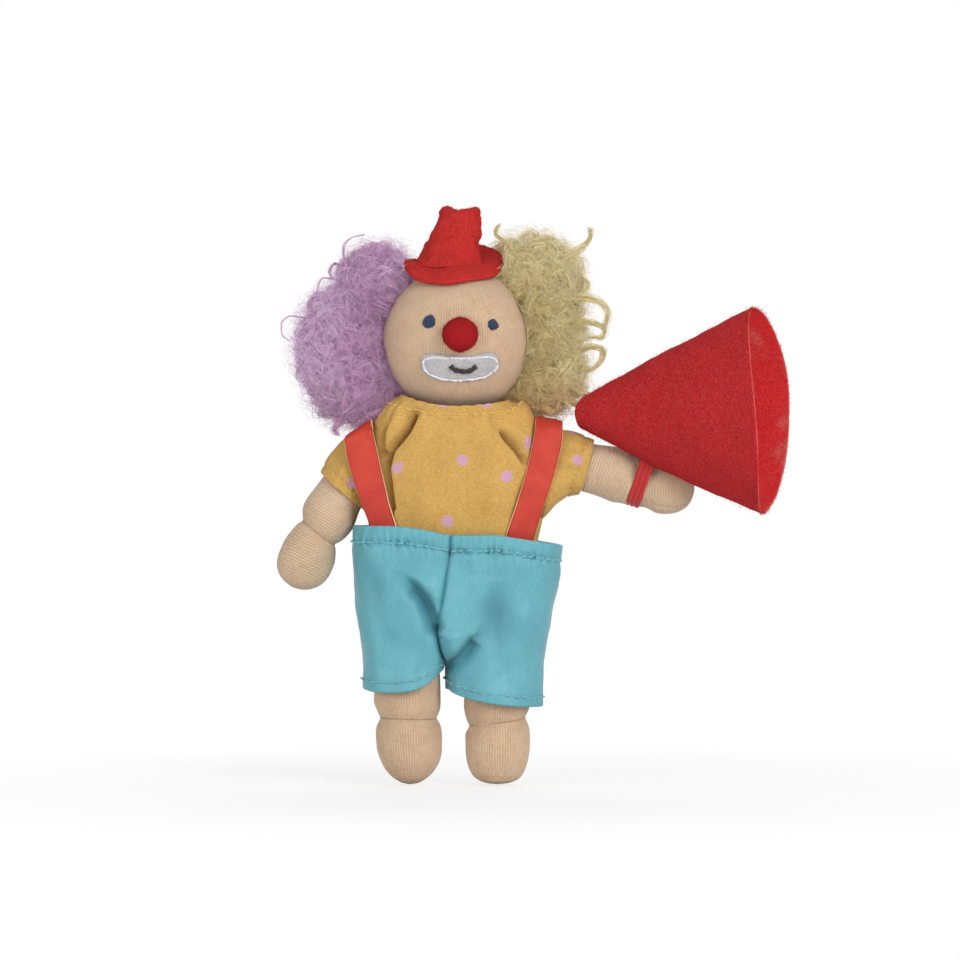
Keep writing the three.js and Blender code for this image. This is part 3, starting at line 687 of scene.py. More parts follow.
@dataclass(frozen=True)
class Cloth(Recipe):
    """Plain-woven cotton with round printed dots at given places of its own surface, and painted shade in its
    fold valleys where the piece's tone is high.
    """

    # Painted shade: the dark colour laid into fold valleys by the tone attribute.
    deep: Colour
    dot: Colour
    dots: tuple[tuple[float, float], ...]
    radius: float = 1.25
    thread: float = 0.25

    def build(self) -> bpy.types.Material:
        """Height is a weave: 0.2 wave(u) + 0.5 wave(v) + 0.3 wave(u / 2) wave(v / 2), with slubs."""
        g = Graph(self.name)
        vector, u, v = g.surface()
        warp = (u / self.thread).wave()
        weft = (v / self.thread).wave()
        over = (u / self.thread * 0.5).wave() * (v / self.thread * 0.5).wave()
        slub = g.noise(
            g.node("ShaderNodeVectorMath", {"operation": "MULTIPLY"}, vector, (1.3, 5.0, 1.0)), 1.0, 3.0
        )
        height = warp * 0.2 + weft * 0.5 + over * 0.3
        mottle = g.noise(g.body(), 260.0, 4.0, 0.6)
        grain = g.noise(g.body(), 1900.0, 3.0, 0.6)
        rag = g.noise(vector, 2.4, 3.0)
        colour = g.blend(
            (height * 0.3 + slub * 0.5 + mottle * 0.25 + grain * 0.4).step(0.35, 1.0), self.shade,
            self.colour
        )
        mask: Wire | None = None
        for at in self.dots:
            away = g.node(
                "ShaderNodeVectorMath", {"operation": "DISTANCE"}, vector, (at[0], at[1], 0.0), out="Value"
            )
            here = 1.0 - (away + rag * 0.7).step(self.radius + 0.2, self.radius + 0.45)
            mask = here if mask is None else mask.most(here)
        if mask is not None:
            colour = g.blend(mask * 0.92, colour, self.dot)
        # Painted shade: fold valleys, marked by the tone attribute, darken towards the deep colour.
        colour = g.blend(g.tone() * 0.74, colour, self.deep)
        g.set(
            Base_Color=colour, Roughness=0.9, Sheen_Weight=0.1, Sheen_Roughness=0.4, Specular_IOR_Level=0.25
        )
        g.bump(height + slub * 0.6, 0.00006)
        return g.material


@dataclass(frozen=True)
class Satin(Recipe):
    """Satin twill: fine slanted floats with a soft lustre, and painted shade in its fold valleys and seam
    where the piece's tone is high.
    """

    # Painted shade: the dark colour laid into fold valleys and the seam by the tone attribute.
    deep: Colour

    def build(self) -> bpy.types.Material:
        """Height is a wave across slanted lines, u / 0.5 + v / 0.74, broken by a second one, with slubs."""
        g = Graph(self.name)
        vector, u, v = g.surface()
        line = (u / 0.5 + v / 0.74).wave()
        broken = (v / 0.31).wave()
        slub = g.noise(
            g.node("ShaderNodeVectorMath", {"operation": "MULTIPLY"}, vector, (3.0, 0.5, 1.0)), 1.0, 3.0
        )
        height = line * 0.6 + broken * 0.2 + slub * 0.4
        mottle = g.noise(g.body(), 90.0, 3.0)
        grain = g.noise(g.body(), 2400.0, 3.0, 0.6)
        mixed = height * 0.2 + slub * 0.3 + mottle * 0.6 + grain * 0.45
        colour = g.blend(mixed.step(0.4, 1.05), self.shade, self.colour)
        # Painted shade from the tone attribute.
        colour = g.blend(g.tone() * 0.6, colour, self.deep)
        g.set(
            Base_Color=colour, Roughness=0.5, Sheen_Weight=0.15, Sheen_Roughness=0.3,
            Specular_IOR_Level=0.45
        )
        g.bump(height, 0.00003)
        return g.material


@dataclass(frozen=True)
class Leatherette(Recipe):
    """Smooth coated strap with a pale cut edge, where the piece's own tone is 1."""

    cut: Colour

    def build(self) -> bpy.types.Material:
        """The tone attribute is 1 at the cut edge; grain is fine noise."""
        g = Graph(self.name)
        at = g.body()
        grain = g.noise(at, 2600.0, 3.0, 0.6)
        mottle = g.noise(at, 240.0, 3.0)
        edge = (g.tone() + (mottle - 0.5) * 0.3).step(0.45, 0.6)
        colour = g.blend(mottle.step(0.25, 0.75), self.shade, self.colour)
        colour = g.blend(edge, colour, self.cut)
        g.set(Base_Color=colour, Roughness=edge * 0.3 + 0.58, Specular_IOR_Level=0.28)
        g.bump(grain, 0.00004)
        return g.material


@dataclass(frozen=True)
class Yarn(Recipe):
    """Twisted thread: slanted turns round the piece's own tube."""

    twist: float = 0.5

    def build(self) -> bpy.types.Material:
        """Height is a wave of 2 u + v / twist, so that the plies wind round the thread."""
        g = Graph(self.name)
        _, u, v = g.surface()
        ply = (u * 2.0 + v / self.twist).wave()
        fuzz = g.noise(g.body(), 3500.0, 2.0)
        colour = g.blend((ply * 0.7 + fuzz * 0.5).step(0.1, 0.9), self.shade, self.colour)
        g.set(Base_Color=colour, Roughness=0.7, Sheen_Weight=0.2)
        g.bump(ply + fuzz * 0.3, 0.00009)
        return g.material


@dataclass(frozen=True)
class Wool:
    """Curly fibres: each strand has its own tone between three colours."""

    name: str
    dark: Colour
    colour: Colour
    light: Colour
    low: Colour

    def build(self) -> bpy.types.Material:
        """A ramp over the tone attribute, mottled by noise, and warmer from 88 mm down to 77 mm."""
        g = Graph(self.name)
        mottle = g.noise(g.body(), 220.0, 3.0)
        stops = [(0.0, self.dark), (0.5, self.colour), (1.0, self.light)]
        colour = g.node("ShaderNodeValToRGB", {"stops": stops}, g.tone() + (mottle - 0.5) * 0.35, out="Color")
        # Painted light: the wool glows faintly in its own colour, standing in for light scattered through the
        # fibres and lifting the shade between locks.
        g.set(Emission_Color=colour, Emission_Strength=0.1)
        high = g.node("ShaderNodeSeparateXYZ", {}, g.body(), out="Z")
        colour = g.blend((1.0 - high.step(0.077, 0.088)) * 0.7, colour, self.low)
        g.set(Base_Color=colour, Roughness=0.75, Sheen_Weight=0.4, Sheen_Roughness=0.4)
        g.bump(g.noise(g.body(), 2600.0, 2.0), 0.0001, 0.6)
        return g.material


@dataclass(frozen=True)
class Finishes:
    """Every material of the doll, by name."""

    skin: bpy.types.Material
    arm: bpy.types.Material
    seam: bpy.types.Material
    nose: bpy.types.Material
    hat: bpy.types.Material
    cone: bpy.types.Material
    eye: bpy.types.Material
    patch: bpy.types.Material
    patch_thread: bpy.types.Material
    smile: bpy.types.Material
    satin: bpy.types.Material
    satin_thread: bpy.types.Material
    cotton_thread: bpy.types.Material
    strap: bpy.types.Material
    elastic: bpy.types.Material
    purple: bpy.types.Material
    green: bpy.types.Material

    @classmethod
    def mix(cls) -> Finishes:
        """Builds them all."""
        return cls(
            skin=Knit("Beige jersey", srgb(209, 181, 150), srgb(172, 132, 102)).build(),
            # Painted shade: the arms' jersey is the skin's beige set a little darker.
            arm=Knit(
                "Beige jersey across", srgb(205, 179, 149), srgb(163, 130, 101), 0.6, 0.45, 0.45
            ).build(),
            seam=Yarn("Beige thread", srgb(190, 158, 124), srgb(138, 104, 74)).build(),
            nose=Felt("Nose wool", srgb(168, 32, 36), srgb(146, 24, 28), srgb(190, 60, 60)).build(),
            hat=Felt("Hat felt", srgb(199, 49, 46), srgb(160, 34, 33), srgb(214, 102, 90)).build(),
            # The fourth colour is the cone's inner face: the same felt made lighter, as painted light.
            cone=Felt(
                "Megaphone felt", srgb(186, 34, 40), srgb(146, 22, 28), srgb(218, 132, 122),
                srgb(216, 38, 44)
            ).build(),
            eye=Yarn("Blue floss", srgb(6, 48, 84), srgb(3, 20, 42)).build(),
            patch=Felt("White felt", srgb(197, 194, 195), srgb(144, 140, 144), srgb(232, 232, 236)).build(),
            patch_thread=Yarn("White floss", srgb(240, 238, 244), srgb(210, 206, 216)).build(),
            smile=Yarn("Brown floss", srgb(50, 28, 28), srgb(24, 12, 12)).build(),
            # The satin's third colour is painted shade for its folds and seam.
            satin=Satin("Blue satin", srgb(99, 167, 178), srgb(72, 141, 155), srgb(34, 94, 110)).build(),
            satin_thread=Yarn("Blue thread", srgb(118, 184, 194), srgb(84, 150, 164)).build(),
            cotton_thread=Yarn("Yellow thread", srgb(232, 196, 106), srgb(190, 146, 66)).build(),
            strap=Leatherette(
                "Red leatherette", srgb(190, 60, 44), srgb(176, 50, 38), srgb(236, 200, 160)
            ).build(),
            elastic=Knit("Red elastic", srgb(186, 38, 39), srgb(126, 20, 23), 0.98, 0.5, 0.7).build(),
            purple=Wool(
                "Purple wool", srgb(140, 94, 134), srgb(190, 146, 184), srgb(222, 192, 220),
                srgb(182, 140, 174)
            ).build(),
            green=Wool(
                "Green wool", srgb(146, 126, 66), srgb(206, 188, 130), srgb(232, 222, 180),
                srgb(196, 146, 98)
            ).build(),
        )


# Sewing


@dataclass(frozen=True)
class Stitching:
    """A row of hand stitches along a path: each thread dips into the cloth at both ends."""

    pitch: float
    length: float
    radius: float
    rise: float
    seed: int

    def sew(self, path: Array, out: Array) -> Web:
        """Lays stitches.

        Args:
            path: Points along the seam.
            out: The surface's outward direction at each of them.

        Returns:
            One web with a tube for each stitch.
        """
        rng = np.random.default_rng(self.seed)
        run = np.concatenate([[0], np.cumsum(np.linalg.norm(np.diff(path, axis=0), axis=1))])
        starts = np.arange(self.pitch * 0.2, run[-1] - self.length, self.pitch)
        starts = starts + rng.normal(0, self.pitch * 0.06, len(starts))
        t = np.linspace(0, 1, 6)
        at = starts[:, None] + t * self.length * rng.uniform(0.85, 1.1, (len(starts), 1))
        spots = np.stack([np.interp(at, run, path[:, k]) for k in range(3)], -1)
        ways = np.stack([np.interp(at, run, out[:, k]) for k in range(3)], -1)
        ways /= np.linalg.norm(ways, axis=-1, keepdims=True)
        arch = np.sin(np.pi * t) ** 0.7 * self.rise - self.radius * 0.9
        drift = rng.normal(0, 0.07, (len(starts), 1, 3))
        return Web(
            tube(spots + ways * arch[:, None] + drift, self.radius * (0.75 + 0.25 * np.sin(np.pi * t)), 6)
        )


@dataclass(frozen=True)
class Fuzz:
    """Short stray fibres that stand up from a surface and curl over."""

    count: int
    length: float
    radius: float
    seed: int
    tones: tuple[float, float] = (0.0, 1.0)

    def grow(self, roots: Array, out: Array) -> Web:
        """Grows fibres from chosen roots.

        Args:
            roots: Points to choose from.
            out: Outward directions there.

        Returns:
            A web of fibres with random tones.
        """
        roots, out = roots.reshape(-1, 3), out.reshape(-1, 3)
        rng = np.random.default_rng(self.seed)
        pick = rng.integers(0, len(roots), self.count)
        lean = rng.normal(size=(self.count, 3))
        way = out[pick] + lean * 0.7
        way /= np.linalg.norm(way, axis=1, keepdims=True)
        curl = np.cross(way, rng.normal(size=(self.count, 3)))
        t = np.linspace(0, 1, 4)[None, :, None]
        reach = (self.length * rng.uniform(0.3, 1.0, self.count))[:, None, None]
        start = roots[pick] + rng.normal(0, 0.25, (self.count, 3)) * (1 - np.abs(out[pick]))
        path = start[:, None] + way[:, None] * (t * reach) + curl[:, None] * (
            t**2 * reach * 0.35
        ) - out[pick][:, None] * 0.05
        tone = rng.uniform(*self.tones, self.count)
        return Web(tube(path, self.radius * (1 - 0.6 * t[..., 0]), 3), capped=False, tone=tone)


def ball(middle: Array, half: Array, rows: int, cols: int) -> Array:
    """A ball on a grid: x, y = half sin(v) (cos u, sin u), z = -half cos(v)."""
    v = np.linspace(0.02, math.pi - 0.02, rows)[:, None]
    u = full_turn(cols)
    unit = joined(np.sin(v) * np.cos(u), np.sin(v) * np.sin(u), -np.cos(v))
    return middle + unit * half


# The doll's parts


@dataclass
class Head:
    """The knit ball with its nose, eyes, mouth patch and smile."""

    shop: Workshop
    finish: Finishes
    nose_middle: tuple[float, float, float] = (1.15, -16.2, 93.88)
    nose_radius: float = 3.75
    patch_middle: tuple[float, float] = (1.15, 86.95)
    patch_half: tuple[float, float] = (7.95, 2.65)

    def build(self) -> None:
        """Makes the head's pieces."""
        self.skin()
        self.neck()
        self.nose()
        self.eye("eye_right", -5.25, 96.65, 1.15, 1.3, 5.0)
        self.eye("eye_left", 7.91, 96.05, 0.95, 1.05, -4.0)
        self.mouth()
        self.smile()

    def skin(self) -> None:
        """A ball of jersey, slightly lumpy from its stuffing."""
        points = ball(HEAD_MIDDLE, HEAD_HALF, 72, 128)
        way = outward(points, HEAD_MIDDLE)
        points = pushed(points, way, lumps(points, 13, 5) * 0.12)
        piece = self.shop.make("head_skin", [Web(points, size=(97.5, 49.0))], self.finish.skin, "knit")
        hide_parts("head")
        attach(piece, "head")

    def neck(self) -> None:
        """The gathered stub of knit between head and torso."""
        z = np.linspace(71.5, 77.1, 14)[:, None]
        u = full_turn(48)
        r = 4.75 - 0.5 * ((z - 74.3) / 2.8) ** 2 + 0.1 * np.cos(12 * u)
        points = joined(r * np.cos(u), r * np.sin(u), z)
        piece = self.shop.make("neck_skin", [Web(points, size=(30, 6))], self.finish.skin, "knit")
        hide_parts("neck")
        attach(piece, "neck")

    def nose(self) -> None:
        """A felted wool ball with stray fibres."""
        middle = np.array(self.nose_middle)
        points = ball(middle, self.nose_radius * np.array([1.0, 1.0, 0.94]), 40, 64)
        way = outward(points, middle)
        points = pushed(points, way, lumps(points, 2.2, 8) * 0.06)
        fuzz = Fuzz(900, 0.55, 0.03, 11).grow(points, way)
        piece = self.shop.make("nose_ball", [Web(points), fuzz], self.finish.nose, "nose_felt")
        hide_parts("nose")
        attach(piece, "head")

    def eye(self, name: str, x: float, z: float, half_x: float, half_z: float, slant: float) -> None:
        """Satin stitches side by side, their lengths set by an upright ellipse with a narrow top.

        Args:
            name: The CAD node that the stitches replace.
            x: Middle across.
            z: Middle height.
            half_x: Half width.
            half_z: Half height.
            slant: Lean of the stitches, in degrees.
        """
        count, steps = 7, 12
        across = np.linspace(-1, 1, count)[:, None] * 0.86
        along = np.linspace(-1, 1, steps)[None]
        reach = np.sqrt(1 - across**2)
        lean = math.tan(math.radians(slant))
        zz = z + half_z * along * reach + 0.06 * np.sin(5 * across)
        xx = x + half_x * across * (1 - 0.1 * along) + half_z * along * lean
        proud = 0.42 * np.sqrt(np.clip(1 - along**2, 0, 1)) * (0.55 + 0.45 * reach) - 0.12
        path = on_head(xx, zz, proud)
        threads = Web(tube(path, 0.24 * half_x, 8), size=(1, 2 * half_z))
        piece = self.shop.make(f"{name}_stitches", [threads], self.finish.eye, "eye_thread")
        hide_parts(name)
        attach(piece, "head")

    def patch_edge(self, s: Array, share: Array | float) -> tuple[Array, Array]:
        """Points of the mouth patch at s along it and a share of its half height, round z + 1.35 s^2."""
        half = self.patch_half[1] * np.sqrt(np.clip(1 - np.abs(s) ** 7.0, 0, 1))
        x = self.patch_middle[0] + self.patch_half[0] * s
        return x, self.patch_middle[1] + 1.35 * s**2 + 0.1 * s + share * half

    def mouth(self) -> None:
        """A soft white patch with a domed edge and a sewn line just inside it."""
        s = np.sin(np.linspace(-1, 1, 64) * math.pi / 2)[:, None] * 0.999
        share = np.sin(np.linspace(math.pi / 2, -math.pi / 2, 24))[None]
        x, z = self.patch_edge(s, share)
        rim = np.maximum(np.abs(share) ** 3, np.abs(s) ** 9)
        proud = 0.75 * np.sqrt(np.clip(1 - rim**2, 0, 1)) + 0.02
        points = on_head(x + 0 * share, z, proud)
        points = pushed(points, outward(points, HEAD_MIDDLE), lumps(points, 1.6, 4) * 0.04)
        back = on_head(x + 0 * share, z, np.full(points.shape[:2], -0.15))
        shell = np.concatenate([points, back[:, ::-1]], axis=1)
        piece = self.shop.make("mouth_cloth", [Web(shell)], self.finish.patch, "mouth_cloth")
        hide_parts("mouth_patch")
        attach(piece, "head")
        turn = np.linspace(0, TURN, 150)
        s = np.sign(np.cos(turn)) * np.abs(np.cos(turn)) ** 0.8 * 0.93
        x, z = self.patch_edge(s, np.sign(np.sin(turn)) * np.abs(np.sin(turn)) ** 0.5 * 0.82)
        path = on_head(x, z, 0.72)
        line = Stitching(0.85, 0.95, 0.25, 0.22, 5).sew(path, outward(path, HEAD_MIDDLE))
        thread = self.shop.make("mouth_stitches", [line], self.finish.patch_thread, "mouth_cloth")
        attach(thread, "head")

    def smile(self) -> None:
        """One thick strand in a shallow curve with short turned-up ends, knotted by back stitches."""
        stops = [
            (0, -0.75, 87.75), (0.15, -0.2, 87.15), (0.35, 0.7, 86.8), (0.6, 2.1, 86.65), (0.82, 3.4, 87.0),
            (1, 4.2, 87.7)
        ]
        t = np.linspace(0, 1, 60)
        flat = through(stops, t)
        path = on_head(flat[:, 0], flat[:, 1], 0.95 + 0.08 * np.sin(t * 26))
        radius = 0.52 + 0.06 * np.sin(t * 26 + 1)
        piece = self.shop.make(
            "smile_thread", [Web(tube(path, radius, 10), size=(1, 7.0))], self.finish.smile, "smile_thread"
        )
        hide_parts("smile")
        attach(piece, "head")


BRIM_LIFT = (
    (-8, 2.1), (0, 2.6), (20, 5.0), (40, 6.9), (62, 7.9), (90, 6.8), (135, 5.2), (160, 4.6), (180, 4.2),
    (205, 2.7), (220, 1.6),
    (243, 0.5), (258, 0.45), (270, 0.55), (285, 0.4), (300, 0.2), (325, 0.5), (345, 1.5), (352, 1.9),
    (360, 2.6), (380, 5.0),
)


@dataclass
class Hat:
    """The dented felt hat: a saddle-shaped brim with the crown sewn on it."""

    shop: Workshop
    finish: Finishes
    thick: float = 1.05
    x: float = -0.3
    brim: float = 10.3
    hole: float = 4.6

    def dome(self, x: Array, y: Array) -> Array:
        """Height of the head's ball over a point of the plan."""
        inside = 1 - ((x - HEAD_MIDDLE[0]) / (HEAD_HALF[0] + 0.2)) ** 2 - (y / (HEAD_HALF[1] + 0.2)) ** 2
        return HEAD_MIDDLE[2] + (HEAD_HALF[2] + 0.2) * np.sqrt(np.clip(inside, 0, None))

    def lift(self, u: Array, r: Array) -> Array:
        """How far the brim stands off the dome: a table over the angle times (share of the way out)^1.2."""
        share = np.clip((r - self.hole) / (self.brim - self.hole), 0, 1.2)
        degrees = np.degrees(u) + 0 * r
        return through(BRIM_LIFT, degrees.ravel()).reshape(degrees.shape) * share**1.2

    def build(self) -> None:
        """Makes the brim and the crown."""
        self.make_brim()
        self.make_crown()

    def make_brim(self) -> None:
        """Rings from the hole outwards over the dome, lifted at the sides and back, with a rounded edge."""
        u = full_turn(120)
        share = np.array([0, 0.2, 0.4, 0.6, 0.8, 0.94, 1.0, 0.94, 0.8, 0.6, 0.4, 0.2, 0.0])[:, None]
        up = np.array([0, 0, 0, 0, 0, 0.06, 0.5, 0.94, 1, 1, 1, 1, 1])[:, None] * self.thick
        wobble = 1 + 0.025 * np.sin(3 * u + 0.6) + 0.015 * np.sin(7 * u)
        reach = self.brim * wobble + 0.3 * (1 - np.cos(u)) + 0.5 * np.clip(-np.sin(u), 0, 1)
        r = self.hole + (reach - self.hole) * share
        x, y = r * np.cos(u), r * np.sin(u)
        z = self.dome(self.x + x, y) + self.lift(u, r) + up + 0.12
        points = np.stack([self.x + x, y, z], -1)
        rough = lumps(points, 3.0, 21) * 0.14 + lumps(points, 1.1, 22) * 0.08
        points = pushed(points, outward(points, HEAD_MIDDLE), rough)
        way = outward(points, HEAD_MIDDLE)
        top = slice(6, 12)
        fuzz = Fuzz(1500, 0.5, 0.03, 23).grow(points[top], way[top])
        piece = self.shop.make("brim_felt", [Web(points, loop=True), fuzz], self.finish.hat, "hat_felt")
        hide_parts("hat_brim")
        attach(piece, "head")

    def make_crown(self) -> None:
        """Rings up the crown: a flared foot, a waist, and a pinched top with a dent between two humps."""
        u = full_turn(96)
        stops = [
            (0.0, 7.3, -1.1, 0.0, 0.0), (0.1, 6.7, -0.85, 0.2, 0.08), (0.31, 5.6, -0.4, 0.6, 0.31),
            (0.45, 5.25, 0.35, 0.9, 0.45),
            (0.57, 4.93, 0.63, 1.0, 0.57), (0.79, 4.4, 1.1, 1.3, 0.79), (0.9, 4.2, 1.25, 1.4, 0.9),
            (0.96, 3.9, 1.3, 1.4, 0.96),
            (1.0, 3.45, 1.35, 1.4, 0.99), (1.04, 2.7, 1.35, 1.4, 1.0), (1.08, 1.8, 1.35, 1.4, 0.98),
            (1.15, 0.15, 1.35, 1.4, 0.92),
        ]
        s = np.concatenate([np.linspace(0, 1, 40), np.linspace(1.01, 1.15, 12)])
        r, lean, pinch, rise = (v[:, None] for v in through(stops, s).T)
        squeeze = 1 - 0.13 * pinch * np.sin(u) ** 2
        foot = self.dome(self.x + r * np.cos(u), r * np.sin(u)) + self.thick + 0.1 + self.lift(u, 6.6 + 0 * r)
        top = 121.0 + 0.3 * np.cos(2 * u + 0.3) * rise + 0.12 * np.sin(3 * u)
        dip = 0.55 * np.exp(-(((self.x + r * np.cos(u) + lean - 1.3) / 2.1) ** 2)) * smooth(0.85, 1.0, rise)
        z = foot * (1 - rise) + top * rise - dip
        x = self.x + r * np.cos(u) * squeeze + lean
        y = r * np.sin(u) * squeeze
        points = joined(x, y, z)
        axis = joined(self.x + lean, 0 * z, z - 2.0)
        way = outward(points, axis)
        crease = -0.55 * np.exp(
            -(((x - 1.6 + (z - 112) * 0.35) / 1.1) ** 2)
        ) * (y < 0) * smooth(108, 111, z) * (1 - smooth(117, 120, z))
        rough = lumps(points, 4.2, 31) * 0.32 + lumps(points, 1.7, 32) * 0.16 + lumps(points, 0.8, 34) * 0.05
        points = pushed(points, way, rough + crease)
        fuzz = Fuzz(1800, 0.5, 0.03, 33).grow(points, way)
        piece = self.shop.make("crown_felt", [Web(points), fuzz], self.finish.hat, "hat_felt")
        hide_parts("hat_crown")
        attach(piece, "head")


class Tuft(Enum):
    """The two sides of the hair."""

    PURPLE = "purple"
    GREEN = "green"


CURLS = {
    Tuft.PURPLE: (
        (
            ((-22.0, 1, 107.5), (-23.2, 0, 110.0), (-23.4, 0, 112.6), (-21.8, 0, 114.6), (-19.0, 0, 115.4)),
            0.22
        ),
        (((-17.5, 2, 109.5), (-16.0, 1, 111.6), (-14.2, 1, 112.6), (-13.0, 1, 111.6)), 0.7),
        (((-31.5, 3, 98.0), (-34.6, 2, 98.4), (-36.6, 2, 96.6), (-36.4, 2, 94.4), (-35.0, 2, 93.2)), 0.14),
        (((-24.6, 2, 106.0), (-27.6, 1, 106.4), (-29.0, 1, 103.6), (-28.4, 1, 101.0)), 0.16),
        (((-17.0, 2, 110.5), (-17.6, 1, 113.6), (-15.4, 1, 113.0), (-13.8, 1, 111.6)), 0.4),
        (
            ((-22.0, 2, 108.0), (-25.0, 1, 109.4), (-26.4, 1, 107.6), (-24.6, 1, 105.8), (-23.0, 1, 106.6)),
            0.3
        ),
        (((-26.0, 2, 101.4), (-29.4, 1, 102.6), (-31.0, 1, 100.6), (-29.4, 1, 98.8)), 0.3),
        (((-23.4, 2, 104.0), (-24.4, 1, 107.0), (-22.4, 0, 108.4), (-20.6, 0, 107.0)), 0.3),
        (((-29.0, 2, 103.0), (-30.6, 1, 101.0), (-30.0, 0, 98.0)), 0.5),
        (((-22.0, 0, 79.0), (-23.6, -1, 76.6), (-25.4, -1, 74.6), (-24.6, -1, 73.4)), 0.9),
        (((-18.0, 0, 79.4), (-19.4, -1, 76.4), (-21.6, -1, 74.8)), 0.9),
        (((-14.0, 0, 80.0), (-16.4, -2, 78.0), (-18.6, -2, 77.8)), 0.7),
    ),
    Tuft.GREEN: (
        (((20.0, 2, 101.0), (25.0, 0, 102.2), (29.6, -1, 101.6), (32.0, -1, 98.8), (31.2, 0, 95.4)), 1.0),
        (
            (
                (21.0, 2, 96.8), (25.6, 0, 97.2), (29.4, 0, 96.8), (31.6, 0, 95.2), (30.6, 0, 93.6),
                (28.6, 1, 93.8)
            ),
            0.8
        ),
        (
            (
                (25.0, 2, 90.0), (28.4, 0, 91.8), (31.0, 0, 91.0), (30.6, 0, 88.8), (28.2, 0, 87.0),
                (25.0, 1, 87.0)
            ),
            0.85
        ),
        (((24.0, 2, 105.0), (26.6, 1, 106.4), (28.0, 0, 104.6), (26.4, 0, 103.0)), 0.6),
        (((21.0, 2, 109.6), (24.4, 0, 111.2), (27.4, 0, 113.2), (28.6, 0, 115.8), (28.0, 0, 116.4)), 0.9),
        (((13.0, 3, 111.4), (10.4, 2, 114.0), (8.4, 2, 115.8), (9.4, 2, 117.6)), 0.6),
        (((24.0, 0, 84.0), (27.0, -1, 82.0), (30.4, -1, 80.8), (33.2, -2, 82.6)), 0.8),
        (((21.0, 0, 82.0), (24.0, -1, 80.2), (27.6, -1, 79.0), (30.6, -2, 79.4)), 0.8),
        (((17.0, 0, 81.4), (18.6, -2, 79.2), (20.6, -2, 78.0)), 0.8),
    ),
}


